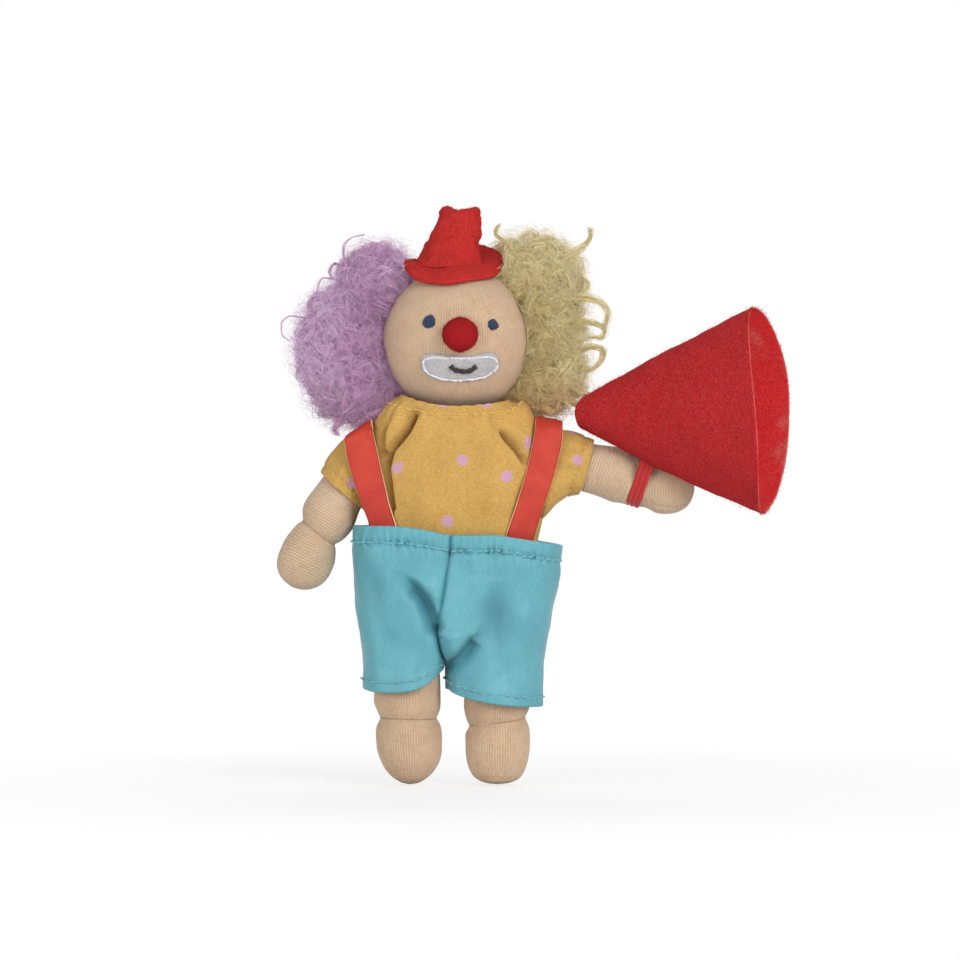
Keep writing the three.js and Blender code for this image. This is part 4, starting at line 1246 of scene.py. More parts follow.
@dataclass
class Hair:
    """Two tufts of curly wool: a soft mass, curled locks and stray fibres."""

    shop: Workshop
    finish: Finishes

    def build(self) -> None:
        """Makes both tufts."""
        for tuft in Tuft:
            self.tuft(tuft)

    def sizes(self, tuft: Tuft) -> tuple[Array, Array]:
        """Middles and half sizes of the tuft's masses, in rows."""
        if tuft is Tuft.PURPLE:
            return (
                np.array([[-20.0, 5.0, 91.8], [-12.0, 10.0, 93.2], [-19.5, 3.4, 84.6], [-15.8, 4.8, 104.0]]),
                np.array([[12.7, 9.0, 13.2], [9.0, 7.4, 12.8], [10.4, 7.4, 8.8], [8.2, 7.8, 8.3]]),
            )
        return (
            np.array([[16.6, 5.0, 97.0], [11.5, 10.0, 93.4], [18.2, 3.4, 86.8], [16.4, 4.8, 106.4]]),
            np.array([[9.4, 9.0, 14.4], [9.0, 7.4, 12.8], [8.3, 7.2, 8.4], [9.2, 8.0, 8.0]]),
        )

    def skin_points(self, tuft: Tuft, count: int, seed: int) -> tuple[Array, Array]:
        """Random points on the outside of the tuft's masses that lie in no other mass and not in the head.

        Args:
            tuft: Which tuft.
            count: How many points to try.
            seed: Seed of the random choice.

        Returns:
            The points and their outward directions.
        """
        rng = np.random.default_rng(seed)
        middles, halves = self.sizes(tuft)
        which = rng.choice(len(middles), count, p=[0.42, 0.14, 0.22, 0.22])
        unit = rng.normal(size=(count, 3))
        unit /= np.linalg.norm(unit, axis=1, keepdims=True)
        points = middles[which] + unit * halves[which]
        out = unit / halves[which]
        out /= np.linalg.norm(out, axis=1, keepdims=True)
        inside = np.zeros(count, bool)
        for k in range(len(middles)):
            inside |= (which != k) & ((((points - middles[k]) / halves[k]) ** 2).sum(1) < 0.86)
        inside |= (((points - HEAD_MIDDLE) / HEAD_HALF) ** 2).sum(1) < 1.0
        inside |= points[:, 0] * (-1 if tuft is Tuft.PURPLE else 1) < 0.4
        return points[~inside], out[~inside]

    def clear(self, points: Array) -> Array:
        """Moves fibres off the face to 0.965 of its outline, and off the hat to 11 mm from its middle."""
        flat = (points[..., [0, 2]] - HEAD_MIDDLE[[0, 2]]) / HEAD_HALF[[0, 2]]
        near = np.maximum(np.linalg.norm(flat, axis=-1), 0.5)
        push = 1 + (np.maximum(0.965 / near, 1) - 1) * smooth(4.0, 1.0, points[..., 1])
        points = points.copy()
        points[..., [0, 2]] = HEAD_MIDDLE[[0, 2]] + flat * push[..., None] * HEAD_HALF[[0, 2]]
        out = np.maximum(np.hypot(points[..., 0], points[..., 1]), 2)
        share = smooth(107.0, 109.0, points[..., 2]) * smooth(9, 6, points[..., 1])
        least = 11.0 + 0.7 * lumps(points, 2.4, 45)
        points[..., :2] *= 1 + ((np.maximum(least / out, 1) - 1) * share)[..., None]
        return points

    def paler(self, points: Array) -> Array:
        """Tone to add at points: patchy at random, with painted shade darkening the wool by the head and
        painted light making it paler on its outside and top.
        """
        side = np.abs(points[..., 0] - HEAD_MIDDLE[0])
        high = 0.28 * smooth(100, 107, points[..., 2]) * smooth(26, 16, side)
        return 0.48 * smooth(17, 28, side) + high + 0.14 * lumps(points, 6.0, 46) - 0.22

    def mass(self, tuft: Tuft) -> Array:
        """The soft mass under the locks: each ball drawn in a little and lumpy, as grids of one size."""
        middles, halves = self.sizes(tuft)
        grids = []
        for k, (middle, half) in enumerate(zip(middles, halves)):
            points = ball(middle, half * 0.87, 48, 64)
            way = outward(points, middle)
            bumps = lumps(
                points, 6.0, 41 + k
            ) * 0.6 + lumps(points, 2.4, 51 + k) * 0.4 + lumps(points, 1.1, 55 + k) * 0.2
            grids.append(self.clear(pushed(points, way, bumps)))
        return np.stack(grids)

    def tuft(self, tuft: Tuft) -> None:
        """Makes one tuft in pieces that stay light enough to export."""
        name = tuft.value
        finish = self.finish.purple if tuft is Tuft.PURPLE else self.finish.green
        seed = 100 if tuft is Tuft.PURPLE else 200
        slot = f"{name}_wool"
        grids = self.mass(tuft)
        # The mass's tone carries painted shade by the head and painted light on the outside and top.
        core = Web(grids, tone=0.5 + self.paler(grids).ravel())
        fuzz_roots, fuzz_out = self.skin_points(tuft, 6000, seed)
        stray = self.stray(fuzz_roots, fuzz_out, 4600, seed + 1)
        base = self.shop.make(f"{name}_mass", [core, stray], finish, slot)
        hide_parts(f"hair_{name}")
        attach(base, "head")
        curls = [self.curl(line, width, seed + 40 + k) for k, (line, width) in enumerate(CURLS[tuft])]
        for part in range(2):
            roots, out = self.skin_points(tuft, 540, seed + 10 + part)
            locks = self.locks(roots, out, seed + 20 + part)
            piece = self.shop.make(f"{name}_locks_{part + 1}", [locks, *curls[part::2]], finish, slot)
            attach(piece, "head")

    def curl(self, line: Sequence[Sequence[float]], width: float, seed: int) -> Web:
        """One loose lock along a line of points: fibres that wander about it and draw together at its tip."""
        rng = np.random.default_rng(seed)
        t = np.linspace(0, 1, 22)
        count = int(10 + 26 * width)
        knots = np.linspace(0, 1, len(line))
        path = through([(k, *p) for k, p in zip(knots, line)], t)
        offset = rng.normal(0, width * 0.45, (count, 1, 3)) * (1.1 - 0.45 * t[None, :, None])
        phase = rng.uniform(0, TURN, (count, 1, 3))
        sway = 0.22 * width * np.sin(t[None, :, None] * rng.uniform(5, 12, (count, 1, 3)) + phase)
        tone = rng.uniform(0.35, 0.75, count)
        return Web(tube(path[None] + offset + sway, 0.07 * (1 - 0.5 * t**3), 3), capped=False, tone=tone)

    def stray(self, roots: Array, out: Array, count: int, seed: int) -> Web:
        """Fine fibres: each leaves the mass, wanders by sums of sines, and tapers."""
        rng = np.random.default_rng(seed)
        pick = rng.integers(0, len(roots), count)
        root, way = roots[pick] - out[pick] * 1.5, out[pick]
        t = np.linspace(0, 1, 7)[None, :, None]
        side = np.cross(way, rng.normal(size=way.shape))
        side /= np.linalg.norm(side, axis=1, keepdims=True)
        other = np.cross(way, side)
        reach = rng.uniform(1.4, 5.6, (count, 1, 1))
        bend = rng.uniform(0.5, 1.8, (count, 1, 1))
        turns = rng.uniform(0.4, 1.3, (count, 1, 1)) * TURN
        phase = rng.uniform(0, TURN, (count, 1, 1))
        path = (
            root[:, None]
            + way[:, None] * reach * np.sin(t * math.pi / 2)
            + side[:, None] * bend * (np.cos(turns * t + phase) - np.cos(phase))
            + other[:, None] * bend * (np.sin(turns * t + phase) - np.sin(phase))
        )
        # The fibres' tone carries the same painted shade by the head and painted light outside and on top.
        tone = rng.uniform(0.45, 0.95, count) + self.paler(root)
        return Web(tube(self.clear(path), 0.042 * (1 - 0.6 * t[..., 0]), 3), capped=False, tone=tone)

    def locks(self, roots: Array, out: Array, seed: int) -> Web:
        """Curled locks: a helix that lies along the mass, with fibres spread about its line.

        Args:
            roots: Where the locks start.
            out: Outward directions there.
            seed: Seed of the random choices.

        Returns:
            A web with a tube for each fibre.
        """
        rng = np.random.default_rng(seed)
        count, fibres, steps = len(roots), 10, 12
        t = np.linspace(0, 1, steps)[None, None, :, None]
        down = np.array([0.0, 0.0, -0.7]) + rng.normal(0, 0.8, (count, 3))
        along = down - out * (down * out).sum(1, keepdims=True)
        along /= np.linalg.norm(along, axis=1, keepdims=True)
        side = np.cross(out, along)
        length = rng.uniform(3.0, 7.5, (count, 1, 1, 1))
        radius = rng.uniform(0.6, 1.7, (count, 1, 1, 1))
        turns = rng.uniform(0.8, 2.0, (count, 1, 1, 1)) * TURN * rng.choice([-1, 1], (count, 1, 1, 1))
        phase = rng.uniform(0, TURN, (count, 1, 1, 1))
        spread = rng.normal(0, 0.34, (count, fibres, 1, 3)) * (0.6 + 0.8 * t)
        shift = rng.normal(0, 0.16, (count, fibres, 1, 1))
        wrap = turns * (t + shift * 0.35) + phase
        o, a, s = (v[:, None, None] for v in (out, along, side))
        bow = 0.10 * length * np.sin(math.pi * t)
        lift = (lumps(roots, 9.0, seed) * 0.9)[:, None, None, None] - 0.5
        path = (
            roots[:, None, None]
            + a * length * (t - 0.35)
            + s * radius * np.cos(wrap)
            + o * (radius * 0.8 * np.sin(wrap) + bow + lift)
            + spread
        )
        path = self.clear(path.reshape(count * fibres, steps, 3))
        # The locks' tone carries the same painted shade by the head and painted light outside and on top.
        tone = (
            rng.uniform(0.5, 0.74, (count, 1)) + self.paler(roots)[:, None]
            + rng.normal(0, 0.06, (count, fibres))
        ).reshape(-1)
        width = 0.055 * (1 - 0.55 * np.abs(2 * np.linspace(0, 1, steps) - 1) ** 3)
        return Web(tube(path, width, 3), capped=False, tone=np.clip(tone, 0, 1))


@dataclass
class Limbs:
    """Arms and legs: each is one stuffed tube of knit, gathered by a thread at its crease."""

    shop: Workshop
    finish: Finishes

    def build(self) -> None:
        """Makes both arms and both legs."""
        self.arm(Side.RIGHT, -5.0)
        self.arm(Side.LEFT, -11.4)
        self.leg(Side.RIGHT)
        self.leg(Side.LEFT)

    def limb_points(self, stops: Sequence[Sequence[float]], rows: int, cols: int, seed: int) -> Array:
        """A stuffed tube along -Z: stops hold (distance, radius across, radius in depth, sideways offset)."""
        s = stops[0][0] + (stops[-1][0] - stops[0][0]) * np.sin(np.linspace(0, math.pi / 2, rows)) ** 0.9
        rx, ry, off = (v[:, None] for v in through(stops, s).T)
        u = full_turn(cols)
        points = joined(off + rx * np.cos(u), -ry * np.sin(u), -s[:, None])
        way = joined(np.cos(u), -np.sin(u), 0 * s[:, None])
        return pushed(points, way, lumps(points, 8, seed) * 0.12)

    def chart(self, points: Array, girth: float) -> Array:
        """Surface coordinates in millimetres: a share of the girth, and the length down the limb's side."""
        steps = np.linalg.norm(np.diff(points, axis=0), axis=-1).mean(1)
        around = np.linspace(0, girth, points.shape[1] + 1)
        return np.stack(np.meshgrid(around, np.concatenate([[0], np.cumsum(steps)])), -1)

    def bent(self, points: Array, pivot: float, degrees: float, soft: float) -> Array:
        """Bends a limb at a distance down its length, smoothly over a soft length to each side."""
        share = smooth(pivot - soft, pivot + soft, -points[..., 2])
        c, s = np.cos(np.radians(degrees) * share), np.sin(np.radians(degrees) * share)
        x, z = points[..., 0], points[..., 2] + pivot
        return np.stack([x * c + z * s, points[..., 1], -x * s + z * c - pivot], -1)

    def tilted(self, points: Array, at: float, tilt: float) -> Array:
        """Tilts the crease at a distance down a limb: z falls by tilt x / 5 exp(-(d / 2.2)^2)."""
        points = points.copy()
        near = np.exp(-(((-points[..., 2] - at) / 2.2) ** 2))
        points[..., 2] -= tilt * points[..., 0] / 5 * near
        return points

    def seamed(self, points: Array, angle: float, start: float, end: float) -> Array:
        """Sinks a seam of 0.35 mm into a limb's front along an angle, from one distance down to another."""
        u = full_turn(points.shape[1])[0]
        away = -points[..., 2]
        sunk = 0.35 * np.exp(
            -(((u - angle) / 0.06) ** 2)
        ) * smooth(start, start + 1.5, away) * smooth(end + 1.5, end, away)
        return pushed(points, sideways(points), -sunk)

    def arm(self, side: Side, bend: float) -> None:
        """One arm with its hand.

        Args:
            side: Which arm.
            bend: Degrees about Y that the hand bends on from the arm.
        """
        turn, root, axis = ARM_TURN[side], shoulder(side), arm_axis(side)
        crease = 4.1 if side is Side.RIGHT else 4.8
        on = 0.0 if side is Side.RIGHT else 1.2
        tip = on * 0.42
        stops = [
            (-4.5, 0.4, 0.4, 0), (-3.4, 3.2, 3.2, 0), (0, 4.7, 4.7, 0), (6, 4.8, 4.8, 0), (11, 5.35, 5.3, 0),
            (14.8 + on, 5.7, 5.55, 0), (17.2 + on, 5.25, 5.2, 0), (18.6 + on, crease + 0.4, crease + 0.35, 0),
            (19.2 + on, crease, crease, 0), (19.8 + on, crease + 0.5, crease + 0.45, 0),
            (21.2 + on, 5.2, 5.1, 0),
            (24.2 + on, 5.8, 5.45, 0), (27.2 + tip, 5.6, 5.15, 0), (29.6 + tip, 4.5, 4.2, 0),
            (31.0 + tip, 2.9, 2.8, 0),
            (31.6 + tip, 1.2, 1.2, 0), (31.75 + tip, 0.15, 0.15, 0),
        ]
        tilt = 0.8 if side is Side.RIGHT else 0.0
        points = self.limb_points(stops, 110, 120, 61 + side.value)
        if side is Side.LEFT:
            points = self.seamed(points, 2.4, 21.5, 30.0)
        points = self.tilted(points, ARM_LENGTH, tilt)
        if side is Side.LEFT:
            along = -points[..., 2]
            points[..., 0] += 0.6 * smooth(8, 14, along) * smooth(26, 20, along)
        points = self.bent(points, ARM_LENGTH, bend, WRIST_SOFT)
        points = turned_about_y(points, turn) + root
        name = side.label
        piece = self.shop.make(
            f"arm_skin_{name}", [Web(points, chart=self.chart(points, 36.0), turned=True)], self.finish.arm,
            "knit"
        )
        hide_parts(f"arm_{name}", f"hand_{name}")
        start, end = root + axis * (ARM_LENGTH - WRIST_SOFT), root + axis * (ARM_LENGTH + WRIST_SOFT)
        self.shop.spot(*start)
        self.shop.spot(*end)
        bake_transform(piece)
        if side is Side.RIGHT:
            u = np.linspace(0, TURN, 41)[:-1]
            flat = np.stack(
                [(crease + 0.06) * np.cos(u), (crease + 0.06) * np.sin(u), 0.1 * np.sin(2 * u) - ARM_LENGTH],
                -1
            )
            ring = self.tilted(flat, ARM_LENGTH, tilt)
            ring = turned_about_y(ring, turn + bend / 2) + root - turned_about_y(
                np.array([[0, 0, -ARM_LENGTH]]), turn + bend / 2
            )
            thread = self.shop.make(
                "wrist_gather_right", [self.ring(ring + axis * ARM_LENGTH, 0.11)], self.finish.seam,
                "thread"
            )
            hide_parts("wrist_thread_right")
            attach(thread, "arm_right")

    def leg(self, side: Side) -> None:
        """One leg with its foot, gathered at the ankle."""
        x = HIP_X[side]
        right = side is Side.RIGHT
        low, tilt = (17.1, 0.0) if right else (17.9, -0.75)
        on = 0.2 if right else 0.0
        sole = (
            (28.5, 4.8, 5.0, 2 * on), (29.5, 3.8, 4.1, 2 * on)
        ) if right else ((28.6, 5.45, 5.4, 0), (29.5, 4.8, 4.8, 0))
        last = 2.6 if right else 3.6
        stops = [
            (-5.6, 0.4, 0.4, 0), (-4.6, 3.6, 3.6, 0), (0, 6.1, 6.1, 0), (7, 6.8, 6.7, -on),
            (low - 3.7, 6.95, 6.7, -on),
            (low - 1.5, 6.45, 6.35, 0), (low - 0.4, 5.95, 5.85, 0), (low, 5.75, 5.7, 0),
            (low + 0.4, 5.95, 5.85, 0),
            (low + 1.8, 6.6, 6.4, 0), (23.2, 6.8, 6.7, on), (26.6, 5.95 if right else 6.3, 6.1, 2 * on),
            *sole, (30.3, last, last + 0.3, 2 * on), (30.8, last * 0.55, last * 0.6, 2 * on),
            (31.0, 0.2, 0.2, 2 * on),
        ]
        points = self.tilted(
            self.limb_points(stops, 110, 72, 71 + side.value), low, tilt
        ) + np.array([x, 0, HIP_Z])
        points[..., 2] = np.maximum(points[..., 2], 0.0)
        name = side.label
        piece = self.shop.make(
            f"leg_skin_{name}", [Web(points, chart=self.chart(points, 42.0))], self.finish.skin, "knit"
        )
        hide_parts(f"leg_{name}", f"foot_{name}")
        self.shop.spot(x, 0, ANKLE_Z + ANKLE_SOFT)
        self.shop.spot(x, 0, ANKLE_Z - ANKLE_SOFT)
        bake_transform(piece)
        u = np.linspace(0, TURN, 49)[:-1]
        flat = np.stack([5.82 * np.cos(u), 5.78 * np.sin(u), 0.1 * np.sin(2 * u) - low], -1)
        ring = self.tilted(flat, low, tilt) + np.array([x, 0, HIP_Z])
        thread = self.shop.make(f"ankle_gather_{name}", [self.ring(ring, 0.13)], self.finish.seam, "thread")
        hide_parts(f"ankle_thread_{name}")
        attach(thread, f"leg_{name}")

    def ring(self, path: Array, radius: float) -> Web:
        """A closed thread: its tube joins its own start."""
        along = np.roll(path, -1, 0) - np.roll(path, 1, 0)
        along /= np.linalg.norm(along, axis=1, keepdims=True)
        out = outward(path, path.mean(0))
        up = np.cross(along, out)
        a = full_turn(7)[..., None]
        points = path[:, None] + radius * (out[:, None] * np.cos(a) + up[:, None] * np.sin(a))
        return Web(points[:, ::-1], loop=True, size=(1, 36))


@dataclass(frozen=True)
class Fold:
    """A valley (depth above 0) or a ridge (below 0) along a line of (x, z) points on the front of cloth."""

    line: tuple[tuple[float, float], ...]
    depth: float
    width: float
    right: float = 0.0
    fade: float = 0.3
    end: float = 0.0

    def at(self, x: Array, z: Array) -> Array:
        """depth exp(-(d / width)^2), d being the distance from the line, faded in and out at its ends."""
        near = np.full(np.broadcast(x, z).shape, 1e9)
        over, along = np.zeros(near.shape), np.zeros(near.shape)
        run = 0.0
        for (x0, z0), (x1, z1) in zip(self.line, self.line[1:]):
            dx, dz = x1 - x0, z1 - z0
            t = np.clip(((x - x0) * dx + (z - z0) * dz) / (dx * dx + dz * dz), 0, 1)
            away = np.hypot(x - x0 - t * dx, z - z0 - t * dz)
            over = np.where(away < near, (x - x0) * dz - (z - z0) * dx, over)
            along = np.where(away < near, run + t * math.hypot(dx, dz), along)
            near = np.minimum(near, away)
            run += math.hypot(dx, dz)
        width = np.where(over > 0, self.right or self.width, self.width)
        share = along / run
        ends = smooth(-0.1, self.fade, share) * (1 - smooth(1 - self.end, 1.0, share) if self.end else 1)
        return self.depth * ends * np.exp(-((near / width) ** 2))


def folded(folds: Sequence[Fold], x: Array, y: Array, z: Array) -> Array:
    """The sum of several folds at points of the front, placed as the camera sees them from 950 mm."""
    nearer = CAMERA_AWAY / (CAMERA_AWAY + y)
    seen_x, seen_z = PICTURE_X + (x - PICTURE_X) * nearer, PICTURE_Z + (z - PICTURE_Z) * nearer
    return sum(fold.at(seen_x, seen_z) for fold in folds)


def evenly(rings: Array, count: int) -> Array:
    """Spaces the points of closed rings evenly along each of them."""
    out = np.empty((len(rings), count, 3))
    for k, ring in enumerate(rings):
        full = np.vstack([ring, ring[:1]])
        run = np.concatenate([[0], np.cumsum(np.linalg.norm(np.diff(full, axis=0), axis=1))])
        at = np.arange(count) / count * run[-1]
        out[k] = np.stack([np.interp(at, run, full[:, i]) for i in range(3)], -1)
    return out


def chart_of(points: Array, middle: float) -> Array:
    """Surface coordinates in mm for closed rings: u along each ring from a middle column, v up the rings.

    Args:
        points: Rings of shape (rows, cols, 3).
        middle: The share of the ring where u is 0.

    Returns:
        Coordinates of shape (rows, cols + 1, 2).
    """
    cols = points.shape[1]
    around = np.linalg.norm(np.roll(points, -1, 1) - points, axis=2).sum(1)
    u = (np.arange(cols + 1)[None] / cols - middle) * around[:, None]
    steps = np.linalg.norm(np.diff(points[:, int(middle * cols)], axis=0), axis=1)
    v = np.concatenate([[0], np.cumsum(steps)])[:, None]
    return np.stack([u, np.broadcast_to(v, u.shape)], -1)


def turned_in(rings: Array, middle: Array, radius: float, depth: float, up: float) -> Array:
    """Continues the last ring of cloth over a rounded edge and back inside, as a hem does.

    Args:
        rings: Rings of shape (rows, cols, 3).
        middle: A point or points on the axis that the hem turns towards.
        radius: Radius of the rounded edge.
        depth: How far the cloth goes back inside.
        up: 1 if the cloth runs up to its edge along z, and -1 if down.

    Returns:
        The rings with the hem's rings after them.
    """
    last = rings[-1]
    inward = (middle - last) * np.array([1, 1, 0])
    inward /= np.linalg.norm(inward, axis=-1, keepdims=True)
    rise = np.array([0, 0, up])
    turn = np.linspace(0, math.pi, HEM_ROUND + 1)[1:]
    edge = [last + inward * radius * (1 - math.cos(t)) + rise * radius * math.sin(t) for t in turn]
    inside = [edge[-1] - rise * depth * share + inward * 0.1 * share for share in HEM_INSIDE]
    return np.concatenate([rings, np.stack(edge + inside)])


SHIRT_RINGS = (
    (44.0, 17.2, 9.1),
    (52.0, 17.8, 9.6),
    (60.0, 18.6, 10.2),
    (68.0, 18.8, 10.3),
    (72.5, 18.5, 10.2),
    (75.2, 17.0, 10.0),
    (77.0, 14.8, 10.0),
    (78.2, 12.6, 10.3),
    (79.0, 11.6, 10.6),
)
SHIRT_POWER = 2.6


def shirt_depth(x: Array, z: Array) -> Array:
    """Half depth of the shirt at a distance from its middle and a height: b (1 - |x / a|^p)^(1 / p)."""
    a, b = through(SHIRT_RINGS, z).T
    return b * np.clip(1 - np.abs(x / a) ** SHIRT_POWER, 0, 1) ** (1 / SHIRT_POWER)


@dataclass
class Shirt:
    """The dotted shirt over the stuffed torso: a body gathered at the neck, and two short sleeves.

    The widths are estimates of how wide the flat cloth is with its gathers let out.
    """

    shop: Workshop
    finish: Finishes
    stitch_in: float = 1.7
    body_width: float = 118.0
    sleeve_width: float = 38.0

    def build(self) -> None:
        """Makes the torso, the shirt's body and both sleeves."""
        self.torso()
        self.body()
        self.sleeve(Side.RIGHT, (-21.4, 63.3))
        self.sleeve(Side.LEFT, (25.8, 68.0))

    def cloth(self, name: str, dots: Sequence[tuple[float, float]]) -> bpy.types.Material:
        """The yellow cotton with its dots at given places."""
        # The third colour is painted shade for the fold valleys.
        colours = (srgb(209, 173, 100), srgb(172, 124, 56), srgb(120, 74, 30), srgb(196, 150, 176))
        return Cloth(name, *colours, tuple(dots)).build()

    def torso(self) -> None:
        """The stuffed body, which only shows through the gaps of the clothes."""
        stops = [
            (33.0, 6.5, 4.2), (34.6, 12.4, 6.4), (39.0, 14.6, 7.4), (52.0, 15.3, 7.9), (60.0, 15.6, 8.3),
            (64.0, 14.2, 8.4), (74.0, 13.4, 8.0), (76.0, 12.2, 8.0), (77.0, 10.2, 7.9),
        ]
        z = np.linspace(33.0, 77.0, 50)
        a, b = through(stops, z).T[:, :, None]
        u = full_turn(72)
        x, y = squared(a, b, u, 2.5)
        points = joined(x, y, z[:, None])
        piece = self.shop.make("torso_skin", [Web(points, size=(90, 70))], self.finish.skin, "knit")
        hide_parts("torso")
        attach(piece, "body")

    def body(self) -> None:
        """Superellipse rings up to a neckline higher at its sides, with folds, gathers and a turned edge."""
        folds = (
            Fold(
                ((-8.5, 77.2), (-10.1, 74.7), (-12.0, 72.6), (-13.7, 70.5), (-14.5, 67.6)), 3.2, 0.75, 0.9,
                0.15
            ),
            Fold(((-10.9, 77.4), (-13.9, 73.4), (-15.3, 70.7)), -1.1, 0.9),
            Fold(((-14.7, 75.4), (-15.5, 71.6), (-16.0, 69.3)), 1.8, 0.9),
            Fold(((-6.2, 77.6), (-7.4, 74.0), (-9.6, 70.6)), -0.5, 1.5),
            Fold(((9.6, 74.7), (11.6, 72.4), (13.4, 70.6), (14.8, 68.2)), 2.6, 0.5, 0.75, 0.35),
            Fold(((11.0, 75.6), (14.4, 71.9)), -1.1, 1.0),
            Fold(((7.4, 77.2), (8.6, 75.0)), 0.6, 0.8),
            Fold(((-14.6, 68.2), (-14.4, 65.0), (-14.0, 61.5), (-13.4, 58.0)), 1.6, 0.6, 1.4, 0.1),
            Fold(((-2.0, 76.0), (-3.5, 69.0), (-4.0, 61.0)), 0.22, 2.2),
            Fold(((4.5, 76.0), (6.0, 68.0), (6.5, 58.0)), 0.28, 2.4),
            Fold(((-9.5, 66.0), (-8.6, 60.0), (-9.4, 55.0)), 0.35, 1.7),
        )
        z = np.concatenate([np.linspace(45, 73, 56)[:-1], np.linspace(73, 79.0, 26)])
        a, b = through(SHIRT_RINGS, z).T[:, :, None]
        u = np.linspace(0, TURN, 901)[None, :-1]
        x, y = squared(a, b, u, SHIRT_POWER)
        high = z[:, None]
        points = evenly(joined(x, y, high), 300)
        x, y = points[..., 0], points[..., 1]
        push = folded(folds, x, y, high) * smooth(-1.0, -5.0, y)
        # Painted shade: the tone is 1 in the deepest fold valleys, where the cloth darkens to its deep
        # colour.
        dark = np.clip(push / 2.4, 0, 1)
        turn = full_turn(300)
        gather = np.sin(turn * 31 + 1.1 * np.sin(turn * 7)) * (0.6 + 0.4 * np.sin(turn * 5 + 1))
        push = push + 0.2 * gather * np.exp(-(((high - 77.2) / 1.5) ** 2))
        push = push + lumps(points, 10, 91) * 0.3 * smooth(79, 74, high) + lumps(
            points * [1, 1, 0.45], 3.4, 92
        ) * 0.1
        out = sideways(points)
        points = pushed(points, out, -push)
        rise = np.where(x < 0, 2.3 * (np.abs(x) / 11) ** 2, 1.4 * (np.abs(x) / 12.5) ** 2)
        points[..., 2] += rise * smooth(74.5, 79, high) + 0.1 * gather * smooth(76.5, 79, high)
        points[..., 2] += 2.0 * np.exp(-(((x - 15.0) / 2.3) ** 2)) * smooth(70, 76.5, high)
        chart = chart_of(points, 0.75)
        seen = (
            (1.55, 68.0), (-12.2, 66.2), (10.8, 64.6), (-1.6, 55.2), (15.6, 71.6), (-2.2, 80.2), (6.45, 80.2),
            (3.2, 47.0), (-8.0, 48.4),
        )
        dots = [self.spot_on(points, chart, *at) for at in seen]
        dots += [
            (side * (26 + 11.5 * i), 4.5 + 10.5 * j + 5 * (i % 2)) for i in range(3)
            for j in range(4 - i % 2) for side in (-1, 1)
        ]
        sewn = np.argmin(np.abs(z - 77.25))
        path = np.vstack([points[sewn], points[sewn, :1]])
        line = Stitching(1.9, 1.35, 0.19, 0.36, 9).sew(path, outward(path * [1, 1, 0.2], np.zeros(3)))
        points = turned_in(points, np.zeros(3), 0.28, 2.6, 1)
        chart = chart_of(points, 0.75)
        # The tone carries the painted fold shade; the hem rings get none.
        web = Web(points, capped=False, chart=chart, tone=np.pad(dark, ((0, HEM_ROWS), (0, 0))).ravel())
        piece = self.shop.make(
            "shirt_body_cloth", [web], self.cloth("Yellow dotted cotton", dots), "shirt_cotton"
        )
        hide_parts("shirt_body")
        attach(piece, "body")
        thread = self.shop.make("neck_stitches", [line], self.finish.cotton_thread, "thread")
        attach(thread, "body")
        web.declare(self.body_width)

    def spot_on(self, points: Array, chart: Array, x: float, z: float) -> tuple[float, float]:
        """The chart's coordinates of the front point seen at (x, z), or above the cloth's edge."""
        nearer = CAMERA_AWAY / (CAMERA_AWAY + points[..., 1])
        high = PICTURE_Z + (points[..., 2] - PICTURE_Z) * nearer
        across = PICTURE_X + (points[..., 0] - PICTURE_X) * nearer
        away = np.hypot(across - x, high - z) + (points[..., 1] > 0) * 1e3
        r, c = np.unravel_index(np.argmin(away), away.shape)
        return (float(chart[r, c, 0]), float(chart[r, c, 1] + max(z - high[r, c], 0)))

    def sleeve(self, side: Side, dot: tuple[float, float]) -> None:
        """A tube of cloth round the arm, with soft folds from its seam and a doubled, stitched hem.

        Args:
            side: Which sleeve.
            dot: Where the photograph shows a dot, as (x, z).
        """
        turn, root, axis = ARM_TURN[side], shoulder(side), arm_axis(side)
        hem, tilt = (8.85, 1.15) if side is Side.RIGHT else (8.8, -0.25)
        band = hem - self.stitch_in
        stops = [
            (-1.6, 4.3), (-0.4, 5.3), (2.5, 5.85), (5.5, 6.1), (band - 0.5, 6.0), (band, 5.82),
            (band + 0.45, 6.02), (hem, 6.02)
        ]
        s = np.linspace(-1.6, hem, 64)
        r = through(stops, s)
        u = full_turn(132)
        grow = smooth(0, 4, s)[:, None] * (1 - 0.6 * smooth(band - 1, band, s))[:, None]
        seed = 95 + side.value
        phase = 0.7 * side.value
        r = r + grow * (
            0.16 * np.sin(5 * u + phase) + 0.11 * np.sin(8 * u + 2 * phase) + 0.05 * np.sin(17 * u)
        )
        pucker = 0.07 * np.sin(31 * u + 2 * np.sin(3 * u)) * np.exp(-(((s[:, None] - band) / 0.8) ** 2))
        r = r + pucker
        if side is Side.LEFT:
            gusset = through(
                (
                    (-1.6, 9.0), (0, 11.5), (2.2, 13.3), (3.2, 13.4), (4.2, 12.0), (5.2, 9.4), (6.6, 7.4),
                    (8.8, 6.05)
                ),
                s
            )
            r = r + (gusset - 6.0) * np.maximum(0, -np.cos(u)) ** 2
        down = s[:, None] + tilt * np.cos(u) * np.clip(s[:, None] / hem, 0, 1) ** 1.5
        points = np.stack([r * np.cos(u), -r * np.sin(u), -down], -1)
        points = pushed(points, sideways(points), lumps(points, 6, seed) * 0.12 * grow)
        points[..., 2] += 0.12 * np.sin(2 * u + 1) * smooth(hem - 3, hem, s)[:, None]
        row = np.argmin(np.abs(s - band))
        path = np.vstack([points[row], points[row, :1]])
        out = turned_about_y(sideways(path), turn)
        line = Stitching(1.75, 1.25, 0.14, 0.28, seed).sew(turned_about_y(path, turn) + root, out)
